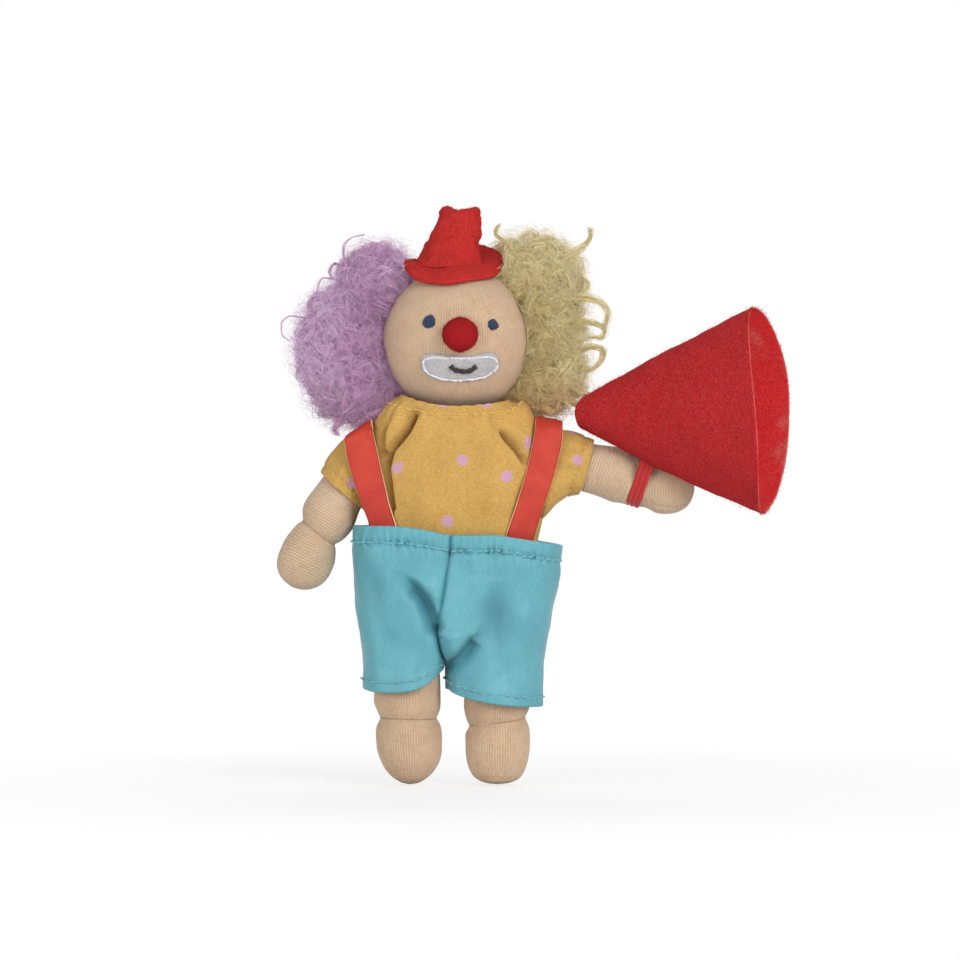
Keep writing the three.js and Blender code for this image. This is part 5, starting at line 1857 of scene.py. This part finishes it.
        points = turned_in(points, np.zeros(3), 0.3, 2.2, -1)
        chart = chart_of(points, 0.25)
        points = turned_about_y(points, turn) + root
        if side is Side.RIGHT:
            under = 75.4 + (points[..., 0] + 17.4) * 0.685 + 6 * smooth(-22.4, -24.4, points[..., 0])
            points[..., 2] = np.minimum(points[..., 2], under)
        cloth = self.cloth(
            f"Yellow dotted cotton {side.label}",
            [self.spot_on(points, chart, *dot), (9.0, 3.0), (-11.5, 6.5)]
        )
        web = Web(points, capped=False, chart=chart)
        piece = self.shop.make(f"sleeve_cloth_{side.label}", [web], cloth, "shirt_cotton")
        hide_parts(f"sleeve_{side.label}")
        ends = (self.shop.spot(*(root - axis * 0.5)), self.shop.spot(*(root + axis * 4.5)))
        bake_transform(piece)
        thread = self.shop.make(f"sleeve_stitches_{side.label}", [line], self.finish.cotton_thread, "thread")
        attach(thread, f"arm_{side.label}")
        web.declare(self.sleeve_width)


@dataclass(frozen=True)
class LegTube:
    """The tube of cloth round one leg: X of its axis, its half width and its half depth."""

    middle: float
    half_x: float
    half_y: float


@dataclass
class Shorts:
    """Satin shorts in two halves, which meet in the centre seam, with a gathered waist and stitched hems.

    The cloth's width is an estimate of how wide each flat half is with its gathers let out.
    """

    shop: Workshop
    finish: Finishes
    crotch: float = 25.1
    power: float = 3.2
    columns: int = 170
    inner: int = 40
    cloth_width: float = 75.0

    SEAT = (
        (19.0, -0.3, 18.9, 10.4), (24.0, -0.3, 19.2, 10.6), (28.0, -0.27, 19.5, 11.0),
        (34.0, -0.27, 20.1, 11.5),
        (38.0, -0.1, 20.6, 11.9), (42.0, 0.2, 21.2, 12.2), (48.0, 0.45, 21.9, 12.7), (52.2, 0.7, 22.1, 12.9),
    )
    SEAM = (
        (19.0, -2.3), (22.7, -2.4), (25.1, -2.1), (28.1, -3.1), (31.8, -3.6), (34.3, -3.4), (39.3, -2.5),
        (43.6, -1.85), (48.5, -1.1), (54.0, -0.75),
    )
    WAIST = (
        (-23.0, 54.1), (-20.6, 54.0), (-12.4, 53.9), (-5.9, 53.1), (-0.6, 52.1), (7.7, 52.1), (13.9, 51.3),
        (22.8, 49.9)
    )
    HEM_RIGHT = ((-20.0, 20.1), (-16.9, 19.5), (-10.8, 19.6), (-6.8, 20.5), (-4.6, 21.9), (-2.2, 24.3))
    HEM_LEFT = ((-2.2, 20.1), (0.3, 18.9), (4.6, 17.7), (12.3, 16.6), (18.2, 16.3))
    FOLDS = (
        Fold(((-11.0, 43.4), (-8.4, 41.6), (-6.0, 38.7), (-4.5, 35.4), (-3.7, 33.0)), 3.2, 0.8, 2.3, 0.4),
        Fold(((-5.4, 42.6), (-3.8, 39.0)), -0.5, 1.0),
        Fold(((3.6, 30.4), (2.4, 28.6), (0.7, 26.8), (-1.4, 25.3)), 2.6, 2.0, 0.7, 0.1),
        Fold(((-1.2, 31.6), (-0.6, 28.2)), -1.1, 1.8),
        Fold(((9.2, 42.6), (8.3, 36.0), (7.4, 24.0)), 2.1, 3.4, 2.6, 0.4, 0.6),
        Fold(((4.0, 44.0), (3.2, 36.0)), -0.5, 2.2),
        Fold(((-14.0, 33.0), (-15.0, 25.0)), 0.4, 1.6),
        Fold(((-6.6, 31.0), (-7.8, 23.5)), 0.35, 1.4),
        Fold(((13.6, 46.0), (14.6, 38.0)), 0.2, 1.8),
        Fold(((2.0, 47.5), (2.4, 41.0)), 0.3, 1.4),
        Fold(((-16.0, 48.0), (-16.8, 41.0)), 0.1, 1.5),
    )

    def build(self) -> None:
        """Makes both halves."""
        self.half(Side.RIGHT, LegTube(-10.7, 8.6, 9.8), self.HEM_RIGHT)
        self.half(Side.LEFT, LegTube(8.4, 10.05, 9.8), self.HEM_LEFT)

    def form(self, x: Array, y: Array, z: Array, leg: LegTube) -> Array:
        """Below 0 inside the cloth.

        It is the seat's gauge above and the leg's below, mixed fast at the seam and slowly off it.

        Args:
            x: Positions across.
            y: Positions in depth.
            z: Heights.
            leg: The tube round the leg.

        Returns:
            The gauge at each point.
        """
        x0, a, b = (v.reshape(z.shape) for v in through(self.SEAT, z.ravel()).T)
        seat = (np.abs((x - x0) / a) ** self.power + np.abs(y / b) ** self.power) ** (1 / self.power) - 1
        tube_form = (
            np.abs((x - leg.middle) / leg.half_x) ** 2.4 + np.abs(y / leg.half_y) ** 2.4
        ) ** (1 / 2.4) - 1
        seam = through(self.SEAM, z.ravel()).reshape(z.shape)
        near = np.exp(-(((x - seam) / 1.6) ** 2))
        share = near * np.clip((z - self.crotch) / 7, 0, 1) + (1 - near) * smooth(20, 34, z)
        return share * seat + (1 - share) * tube_form

    def reach(self, angle: Array, z: Array, leg: LegTube, side: Side) -> Array:
        """Distance from the leg's axis to the cloth or the seam's plane at an angle, found by halving.

        Args:
            angle: Angle about the leg's axis, anticlockwise from +X.
            z: Heights.
            leg: The tube round the leg.
            side: Which half.

        Returns:
            The distances.
        """
        seam = through(self.SEAM, z.ravel()).reshape(z.shape)
        low, high = np.zeros(z.shape), np.full(z.shape, 60.0)
        for _ in range(26):
            r = (low + high) / 2
            x, y = leg.middle + r * np.cos(angle), r * np.sin(angle)
            out = np.maximum(self.form(x, y, z, leg), (seam - x) * side.value)
            low, high = np.where(out < 0, r, low), np.where(out < 0, high, r)
        return low

    def corner(self, z: Array, leg: LegTube) -> Array:
        """Angle of the back seam about the leg's axis.

        It is where the cloth crosses the seam's plane, 1.2 mm out at least."""
        seam = through(self.SEAM, z.ravel()).reshape(z.shape)
        low, high = np.zeros(z.shape), np.full(z.shape, 20.0)
        for _ in range(24):
            y = (low + high) / 2
            out = self.form(seam, y, z, leg)
            low, high = np.where(out < 0, y, low), np.where(out < 0, high, y)
        return np.arctan2(np.maximum(low, 1.2), seam - leg.middle)

    def spread(self, first: Array, last: Array, share: Array, side: Side) -> Array:
        """Angles of the outer columns.

        They run evenly from 8 degrees off the seam, and only the third nearest a corner follow it."""
        least = math.radians(8)
        start, end = (least, TURN - least) if side is Side.RIGHT else (least - math.pi, math.pi - least)
        even = start + (end - start) * share
        return even + (first - start) * smooth(0.36, 0, share) + (last - end) * smooth(0.64, 1, share)

    def half(self, side: Side, leg: LegTube, hem: Sequence[tuple[float, float]]) -> None:
        """One half: rings from the hem to the waist, whose inner part is left out above the crotch.

        Args:
            side: Which half.
            leg: The tube round the leg.
            hem: Heights of the hem over x.
        """
        down, up = 34, 110
        rows, cols = down + up, self.columns + self.inner
        grid = np.zeros((rows, cols))
        x = grid + leg.middle
        z = grid + 40.0
        for _ in range(4):
            hem_z = through(hem, x[:down].ravel()).reshape(down, cols) + 0.45
            waist_z = through(self.WAIST, x[down:].ravel()).reshape(up, cols)
            z[:down] = hem_z + (self.crotch - hem_z) * np.linspace(0, 1, down + 1)[:-1, None]
            z[down:] = self.crotch + (waist_z - self.crotch) * np.linspace(0, 1, up)[:, None] ** 1.5
            back = self.corner(z, leg)
            front = -back
            first, last = (back, front + TURN) if side is Side.RIGHT else (front, back)
            outer = np.linspace(0, 1, self.columns)[None]
            inside = np.linspace(0, 1, self.inner + 2)[None, 1:-1]
            c = self.columns
            angle = np.concatenate(
                [
                    self.spread(first[:, :c], last[:, :c], outer, side),
                    last[:, c:] + (first + TURN - last)[:, c:] * inside,
                ],
                axis=1,
            )
            r = self.reach(angle, z, leg, side)
            x = leg.middle + r * np.cos(angle)
        y = r * np.sin(angle)
        seam = through(self.SEAM, z.ravel()).reshape(z.shape)
        away = np.abs(x - seam)
        front = smooth(-2.0, -7.0, y)
        facing = front + smooth(2.0, 7.0, y)
        drop = through(self.WAIST, x.ravel()).reshape(x.shape) - z
        push = folded(self.FOLDS, x, y, z) * front
        seamed = np.exp(-((away / 0.4) ** 2)) * facing * smooth(25.0, 26.5, z)
        # Painted shade: the tone is high in fold valleys and along the sunk seam.
        dark = np.clip(np.maximum(push / 2.6, seamed * 0.8), 0, 1)
        push = push + 0.8 * seamed
        spots = np.stack([x, y, z], -1)
        push += (
            lumps(spots * [1, 1, 0.5], 9, 97) * 0.6 + lumps(spots * [1, 1, 0.6], 4, 98) * 0.16
        ) * smooth(1.0, 7.0, drop)
        stitched = np.exp(-(((drop - 3.0) / 1.2) ** 2))
        push += (0.2 + 0.4 * lumps(spots, 1.5, 99)) * np.exp(-(((drop - 3.0) / 0.55) ** 2))
        along = x * 4.4 + 1.8 * np.sin(x * 0.9) + y * 0.8
        push += (0.38 * np.sin(along) * (0.7 + 0.3 * np.sin(x * 0.7 + 2)) + 0.15) * stitched
        push += 0.1 * np.sin(along * 0.8) * smooth(9, 3, drop)
        y = y - np.sign(y) * push * facing
        x = x - np.sign(x) * push * (1 - facing) * 0.7
        points = np.stack([x, y, z], -1)
        axis = np.array([leg.middle, 0, 0])
        outer = slice(0, self.columns)
        level = np.argmin(np.abs(drop[down:, outer] - 3.0), axis=0) + down
        path = points[level, np.arange(self.columns)]
        waist_line = Stitching(1.9, 1.75, 0.27, 0.5, 19).sew(path, sideways(path))
        above = z[:down] - through(hem, x[:down].ravel()).reshape(down, cols) - 0.45
        level = np.argmin(np.abs(above - 1.75), axis=0)
        path = points[level, np.arange(cols)]
        hem_line = Stitching(1.95, 1.6, 0.22, 0.42, 29).sew(path, outward(path * [1, 1, 0], axis))
        points = turned_in(points, np.array([0.4, 0, 0]), 0.35, 2.8, 1)
        points = turned_in(points[::-1], axis, 0.35, 2.4, -1)[::-1]
        keep = np.ones((len(points) - 1, cols), bool)
        keep[HEM_ROWS + down - 1 :, self.columns - 1 :] = False
        # The tone carries the painted shade; the hem rings get none.
        tone = np.pad(dark, ((HEM_ROWS, HEM_ROWS), (0, 0))).ravel()
        web = Web(points, capped=False, chart=chart_of(points, 0.5), keep=keep, tone=tone)
        piece = self.shop.make(f"shorts_cloth_{side.label}", [web], self.finish.satin, "shorts_satin")
        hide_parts(f"shorts_{side.label}")
        hip = HIP_X[side]
        self.shop.spot(hip, 0, HIP_Z + 5)
        self.shop.spot(hip, 0, HIP_Z - 6)
        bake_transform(piece)
        waist = self.shop.make(
            f"waist_stitches_{side.label}", [waist_line], self.finish.satin_thread, "thread"
        )
        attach(waist, "body")
        hem_thread = self.shop.make(
            f"hem_stitches_{side.label}", [hem_line], self.finish.satin_thread, "thread"
        )
        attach(hem_thread, f"leg_{side.label}")
        web.declare(self.cloth_width)


@dataclass
class Braces:
    """Two straps of red leatherette from the waist over the shoulders to the back."""

    shop: Workshop
    finish: Finishes
    thick: float = 0.75

    def build(self) -> None:
        """Makes both straps; stops are (z, |x|, half width, lean of the front in degrees)."""
        self.strap(
            Side.RIGHT,
            (
                (48.0, 13.4, 2.8, 22), (54.6, 14.95, 2.8, 20), (59.2, 16.55, 2.9, 14), (65.7, 18.4, 3.15, 8),
                (71.2, 19.7, 3.1, 2), (73.0, 20.0, 3.2, 0)
            ),
            35.0,
            74.3
        )
        self.strap(
            Side.LEFT,
            (
                (45.6, 12.0, 3.15, 22), (51.9, 13.4, 3.05, 20), (58.6, 15.6, 2.9, 14), (65.1, 17.7, 2.9, 8),
                (70.6, 19.1, 2.9, 2), (73.6, 19.6, 2.8, 0)
            ),
            10.0,
            76.1
        )

    def strap(self, side: Side, stops: Sequence[Sequence[float]], roll: float, top: float) -> None:
        """One strap: a rounded rectangle swept up the front, over the shoulder in an arc, and down the back.

        Args:
            side: Which strap.
            stops: Rows of height, distance from the middle, half width and lean.
            roll: Degrees by which the strap's outer edge hangs lower on the shoulder.
            top: Height of the strap's middle on the shoulder.
        """
        z = np.linspace(stops[0][0], stops[-1][0], 60)
        x, half, lean = through(stops, z).T
        lean = np.radians(lean)
        clear = [
            shirt_depth(x + k * half * np.cos(lean), z) + k * half * np.sin(lean)
            for k in (-1, -0.5, 0, 0.5, 1)
        ]
        y = np.maximum(np.max(clear, axis=0), 6.1 * smooth(52, 70, z)) + 0.55
        y = np.convolve(np.pad(y, 4, mode="edge"), np.ones(9) / 9, "valid")
        turn = np.linspace(0, math.pi / 2, 18)[1:]
        over = np.ones(len(turn))
        x_all = np.concatenate([x, x[-1] * over])
        y_all = np.concatenate([y, y[-1] * np.cos(turn) ** 0.9])
        z_all = np.concatenate([z, z[-1] + (top - z[-1]) * np.sin(turn)])
        half_all = np.concatenate([half, half[-1] * over])
        lean_all = np.concatenate([lean, lean[-1] * over])
        roll_all = np.radians(roll) * np.concatenate(
            [smooth(66, z[-1] + 2, z), smooth(-1.2, 1, np.sin(turn))]
        )
        front = np.stack([side.value * x_all, -y_all, z_all], -1)
        across = np.stack(
            [side.value * np.cos(lean_all) * np.cos(roll_all), np.sin(lean_all), -np.sin(roll_all)], -1
        )
        mirror = np.array([1, -1, 1])
        path = np.concatenate([front, (front * mirror)[-2::-1]])
        across = np.concatenate([across, (across * mirror)[-2::-1]])
        half_all = np.concatenate([half_all, half_all[-2::-1]])
        across /= np.linalg.norm(across, axis=1, keepdims=True)
        along = np.gradient(path, axis=0)
        out = np.cross(along, across) * side.value * -1
        out /= np.linalg.norm(out, axis=1, keepdims=True)
        edge = np.linspace(-math.pi / 2, math.pi / 2, 5)
        flat = np.linspace(-1, 1, 21)
        u = np.concatenate([flat, 1 + 0 * edge, flat[::-1], -1 + 0 * edge])
        bulge = np.concatenate([0 * flat, np.cos(edge), 0 * flat, -np.cos(edge)]) * 0.14
        lift = np.concatenate([0 * flat - 0.5, np.sin(edge) * 0.5, 0 * flat + 0.5, -np.sin(edge) * 0.5]) + 0.5
        crown = (np.abs(u) ** 4) * -0.12
        width = half_all[:, None] * u + bulge
        points = path[:, None] + across[:, None] * width[..., None] + out[:, None] * (
            lift * self.thick + crown
        )[None, :, None]
        wave = lumps(points, 7, 111 + side.value) * 0.1 + lumps(points, 2.6, 112) * 0.035
        points = points + out[:, None] * wave[..., None]
        if side is Side.RIGHT:
            points = points[:, ::-1]
            bulge = bulge[::-1]
        tone = np.broadcast_to((np.abs(bulge) > 1e-3).astype(float), points.shape[:2]).ravel()
        web = Web(points, size=(14, 120), tone=tone)
        piece = self.shop.make(f"brace_strap_{side.label}", [web], self.finish.strap, "brace_leatherette")
        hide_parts(f"brace_{side.label}")
        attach(piece, "body")


@dataclass
class Megaphone:
    """The felt cone and the ribbed elastic loop that holds it to the left wrist."""

    shop: Workshop
    finish: Finishes
    thick: float = 0.9
    small: float = 7.0
    big: float = 45.4

    def build(self) -> None:
        """Makes the cone and the loop."""
        self.cone()
        self.band()

    def at(self, share: Array, angle: Array, inset: Array) -> Array:
        """Points of the cone: an ellipse that grows along the axis, with a bowed and slanting mouth.

        Args:
            share: 0 at the small end and 1 at the mouth.
            angle: Angle from the top, towards the back.
            inset: How far the point lies inside the outer face.

        Returns:
            Points in the doll's millimetres.
        """
        small = self.small * 21.4 / self.big
        high = small + (21.4 - small) * share - inset
        deep = 2.7 + (13.0 - 2.7) * share - inset
        s, c = np.abs(np.sin(angle)), np.cos(angle)
        back = 3.9 * s**1.3 * (1 + 0.25 * c)
        front = s**2 * (2.2 - 0.85 * c)
        bow = np.where(np.sin(angle) > 0, back, front) - 0.9 * c
        along = self.small + (self.big + bow - self.small) * share + (1 - share) ** 4 * (
            1.4 * np.clip(c, 0, 1) ** 2 + 0.5 * np.clip(-c, 0, 1) ** 2
        )
        high = high + 0.75 * np.sin(math.pi * np.clip(share, 0, 1)) ** 2 * np.clip(-c, 0, 1) ** 2
        p = joined(along, deep * np.sin(angle), high * np.cos(angle))
        rise, forward = math.radians(0.3), math.radians(16)
        x = p[..., 0] * math.cos(rise) - p[..., 2] * math.sin(rise)
        z = p[..., 0] * math.sin(rise) + p[..., 2] * math.cos(rise)
        y = -x * math.sin(forward) + p[..., 1] * math.cos(forward)
        x = x * math.cos(forward) + p[..., 1] * math.sin(forward)
        return np.stack([x, y, z], -1) + np.array([19.1, 0.7, 78.0])

    def cone(self) -> None:
        """Outer face, rounded edge, inner face with soft folds, and the small end's edge, as one loop."""
        cols, long = 240, 90
        t = full_turn(cols)
        run = np.linspace(0, 1, long)
        bend = np.linspace(0, 1, 6)[1:-1]
        share = np.concatenate(
            [run, 1 + 0.006 * np.sin(bend * math.pi), run[::-1], 0 - 0.004 * np.sin(bend * math.pi)]
        )[:, None]
        side = np.concatenate([0 * run, bend, 0 * run + 1, 1 - bend])[:, None]
        middle = np.clip(-np.sin(t), 0, 1) ** 4
        inset = self.thick * side * (1 - (0.6 - 0.5 * middle) * smooth(0.8, 1.0, share))
        folds = 0.35 * np.sin(9 * t + 1.5 * np.sin(2 * t)) + 0.25 * np.sin(5 * t + 1)
        inset = inset + np.clip(side, 0, 1) * folds * np.sin(math.pi * np.clip(share, 0, 1)) * 0.55
        points = self.at(share + 0 * t, t + 0 * share, inset)
        axis = self.at(share, 0 * share, 0 * share) * 0.5 + self.at(
            share, 0 * share + math.pi, 0 * share
        ) * 0.5
        way = outward(points, axis)
        calm = smooth(0.0, 0.2, np.clip(share, 0, 1))
        points = pushed(points, way, (lumps(points, 16, 121) * 0.22 + lumps(points, 4.5, 122) * 0.1) * calm)
        points = pushed(points, way, lumps(points, 1.4, 123) * 0.05)
        # Tone 0.5 marks the inner face for its painted light, and tone 1 marks the rim's paler band.
        rim = np.exp(-(((np.clip(share, 0, 1) - 1) / 0.012) ** 2)) * (side > 0.02) * (side < 0.98)
        tone = np.where(rim > 0.2, 1.0, np.where(side > 0.5, 0.5, 0.0)) + 0 * t
        fuzz = Fuzz(2400, 1.0, 0.032, 124, (0.1, 1.0)).grow(points[:long], way[:long])
        edge = slice(long - 1, long + 5)
        lint = Fuzz(1300, 0.7, 0.034, 125, (0.6, 1.0)).grow(points[edge], way[edge])
        web = Web(points[:, ::-1], loop=True, tone=tone[:, ::-1].ravel(), size=(120, 100))
        piece = self.shop.make("cone_felt", [web, fuzz, lint], self.finish.cone, "megaphone_felt")
        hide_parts("megaphone_cone")
        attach(piece, "megaphone")

    def band(self) -> None:
        """A loop round the wrist that reaches up to the cone by a cosine cubed, with ribs along it."""
        t = full_turn(120)
        across = np.linspace(-1, 1, 31)
        w = np.concatenate([across, across[::-1]])[:, None]
        face = np.concatenate([0 * across + 1, 0 * across])[:, None]
        rib = 0.12 * np.cos(w * 3 * math.pi) * face * np.clip(1.2 - np.abs(w), 0, 1)
        r = 4.85 + 3.4 * np.maximum(np.cos(t - math.radians(-35)), 0) ** 3 + face * 0.4 + rib + 0 * t
        wide = 1.5 * w * (1 + 0.03 * np.sin(5 * t))
        points = np.stack([r * np.cos(t) + 0.55, r * np.sin(t), wide - ARM_LENGTH - 1.3], -1)
        points = turned_about_y(points, ARM_TURN[Side.LEFT]) + shoulder(Side.LEFT)
        web = Web(points[:, ::-1], loop=True, size=(36, 6), turned=True)
        piece = self.shop.make("band_elastic", [web], self.finish.elastic, "elastic")
        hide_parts("megaphone_band")
        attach(piece, "megaphone")


# The set


def studio_world(scene: bpy.types.Scene) -> None:
    """White to the camera and in reflections, and a softer white light on the doll."""
    scene.world = bpy.data.worlds.new("Studio")
    scene.world.use_nodes = True
    g = Nodes(scene.world.node_tree)
    kinds = ("Camera", "Glossy", "Transmission")
    camera, glossy, through_glass = (
        g.node("ShaderNodeLightPath", {}, out=f"Is {kind} Ray") for kind in kinds
    )
    seen = camera.most(glossy).most(through_glass)
    lamp = g.node("ShaderNodeBackground", {}, WHITE, 0.42)
    white = g.node("ShaderNodeBackground", {}, WHITE, 1.0)
    g.end("ShaderNodeOutputWorld", g.node("ShaderNodeMixShader", {}, seen, lamp, white))


def pale_floor() -> bpy.types.Material:
    """Matt, and glowing to the camera by a share that grows with the distance, to melt into the backdrop."""
    pale = bpy.data.materials.new("Pale floor")
    pale.use_nodes = True
    g = Nodes(pale.node_tree)
    at = g.node("ShaderNodeTexCoord", {}, out="Object")
    away = g.node("ShaderNodeVectorMath", {"operation": "LENGTH"}, at, out="Value")
    fade = g.node("ShaderNodeMapRange", {"interpolation_type": "SMOOTHSTEP"}, away, 0.05, 0.16, 0.75, 1.0)
    seen = g.node("ShaderNodeLightPath", {}, out="Is Camera Ray") * fade
    matt = g.node("ShaderNodeBsdfDiffuse", {}, (0.9, 0.9, 0.9, 1))
    glow = g.node("ShaderNodeEmission", {}, None, 1.0)
    g.end("ShaderNodeOutputMaterial", g.node("ShaderNodeMixShader", {}, seen, matt, glow))
    return pale


def lay_floor(scene: bpy.types.Scene) -> None:
    """A square floor, 0.2 mm below the soles."""
    reach = 3.0
    corners = [(-reach, -reach, 0), (reach, -reach, 0), (reach, reach, 0), (-reach, reach, 0)]
    mesh = bpy.data.meshes.new("floor")
    mesh.from_pydata(corners, [], [(0, 1, 2, 3)])
    mesh.materials.append(pale_floor())
    floor = bpy.data.objects.new("floor", mesh)
    floor.location.z = -0.0002
    scene.collection.objects.link(floor)


def light_stage(shop: Workshop) -> None:
    """Puts up the floor, the backdrop, soft lamps and the camera.

    Args:
        shop: The workshop that knows where the doll stands.
    """
    scene = bpy.context.scene
    scene.view_settings.view_transform = "Standard"
    target = shop.place(np.array([PICTURE_X, 0.0, PICTURE_Z]))
    studio_world(scene)
    lay_floor(scene)

    for name, at, size, power in (
        ("key", (0.58, -0.82, 0.44), 0.5, 7.0),
        ("fill", (-0.6, -0.8, 0.06), 0.8, 6.3),
        ("back", (0.1, 0.7, 0.7), 0.6, 3.0),
    ):
        data = bpy.data.lights.new(name, "AREA")
        data.energy = power
        data.size = size
        lamp = bpy.data.objects.new(name, data)
        lamp.location = np.array(at) + np.array([target[0], target[1], 0])
        way = target - np.array(lamp.location)
        lamp.rotation_euler = Vector(way).to_track_quat("-Z", "Y").to_euler()
        scene.collection.objects.link(lamp)

    data = bpy.data.cameras.new("camera")
    data.sensor_width = 36.0
    data.lens = data.sensor_width * CAMERA_AWAY / PICTURE_WIDTH
    data.clip_end = 20.0
    camera = bpy.data.objects.new("camera", data)
    camera.location = target - np.array([0.0, CAMERA_AWAY * MM, 0.0])
    camera.rotation_euler = (math.pi / 2, 0, 0)
    scene.collection.objects.link(camera)
    scene.camera = camera


def main() -> None:
    """Dresses the doll, piece by piece."""
    logging.basicConfig(level=logging.INFO, format="%(message)s", stream=sys.stdout)
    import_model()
    shop = Workshop()
    light_stage(shop)
    finish = Finishes.mix()
    Head(shop, finish).build()
    Hat(shop, finish).build()
    Hair(shop, finish).build()
    Limbs(shop, finish).build()
    Shirt(shop, finish).build()
    Shorts(shop, finish).build()
    Braces(shop, finish).build()
    Megaphone(shop, finish).build()


if __name__ == "__main__":
    main()
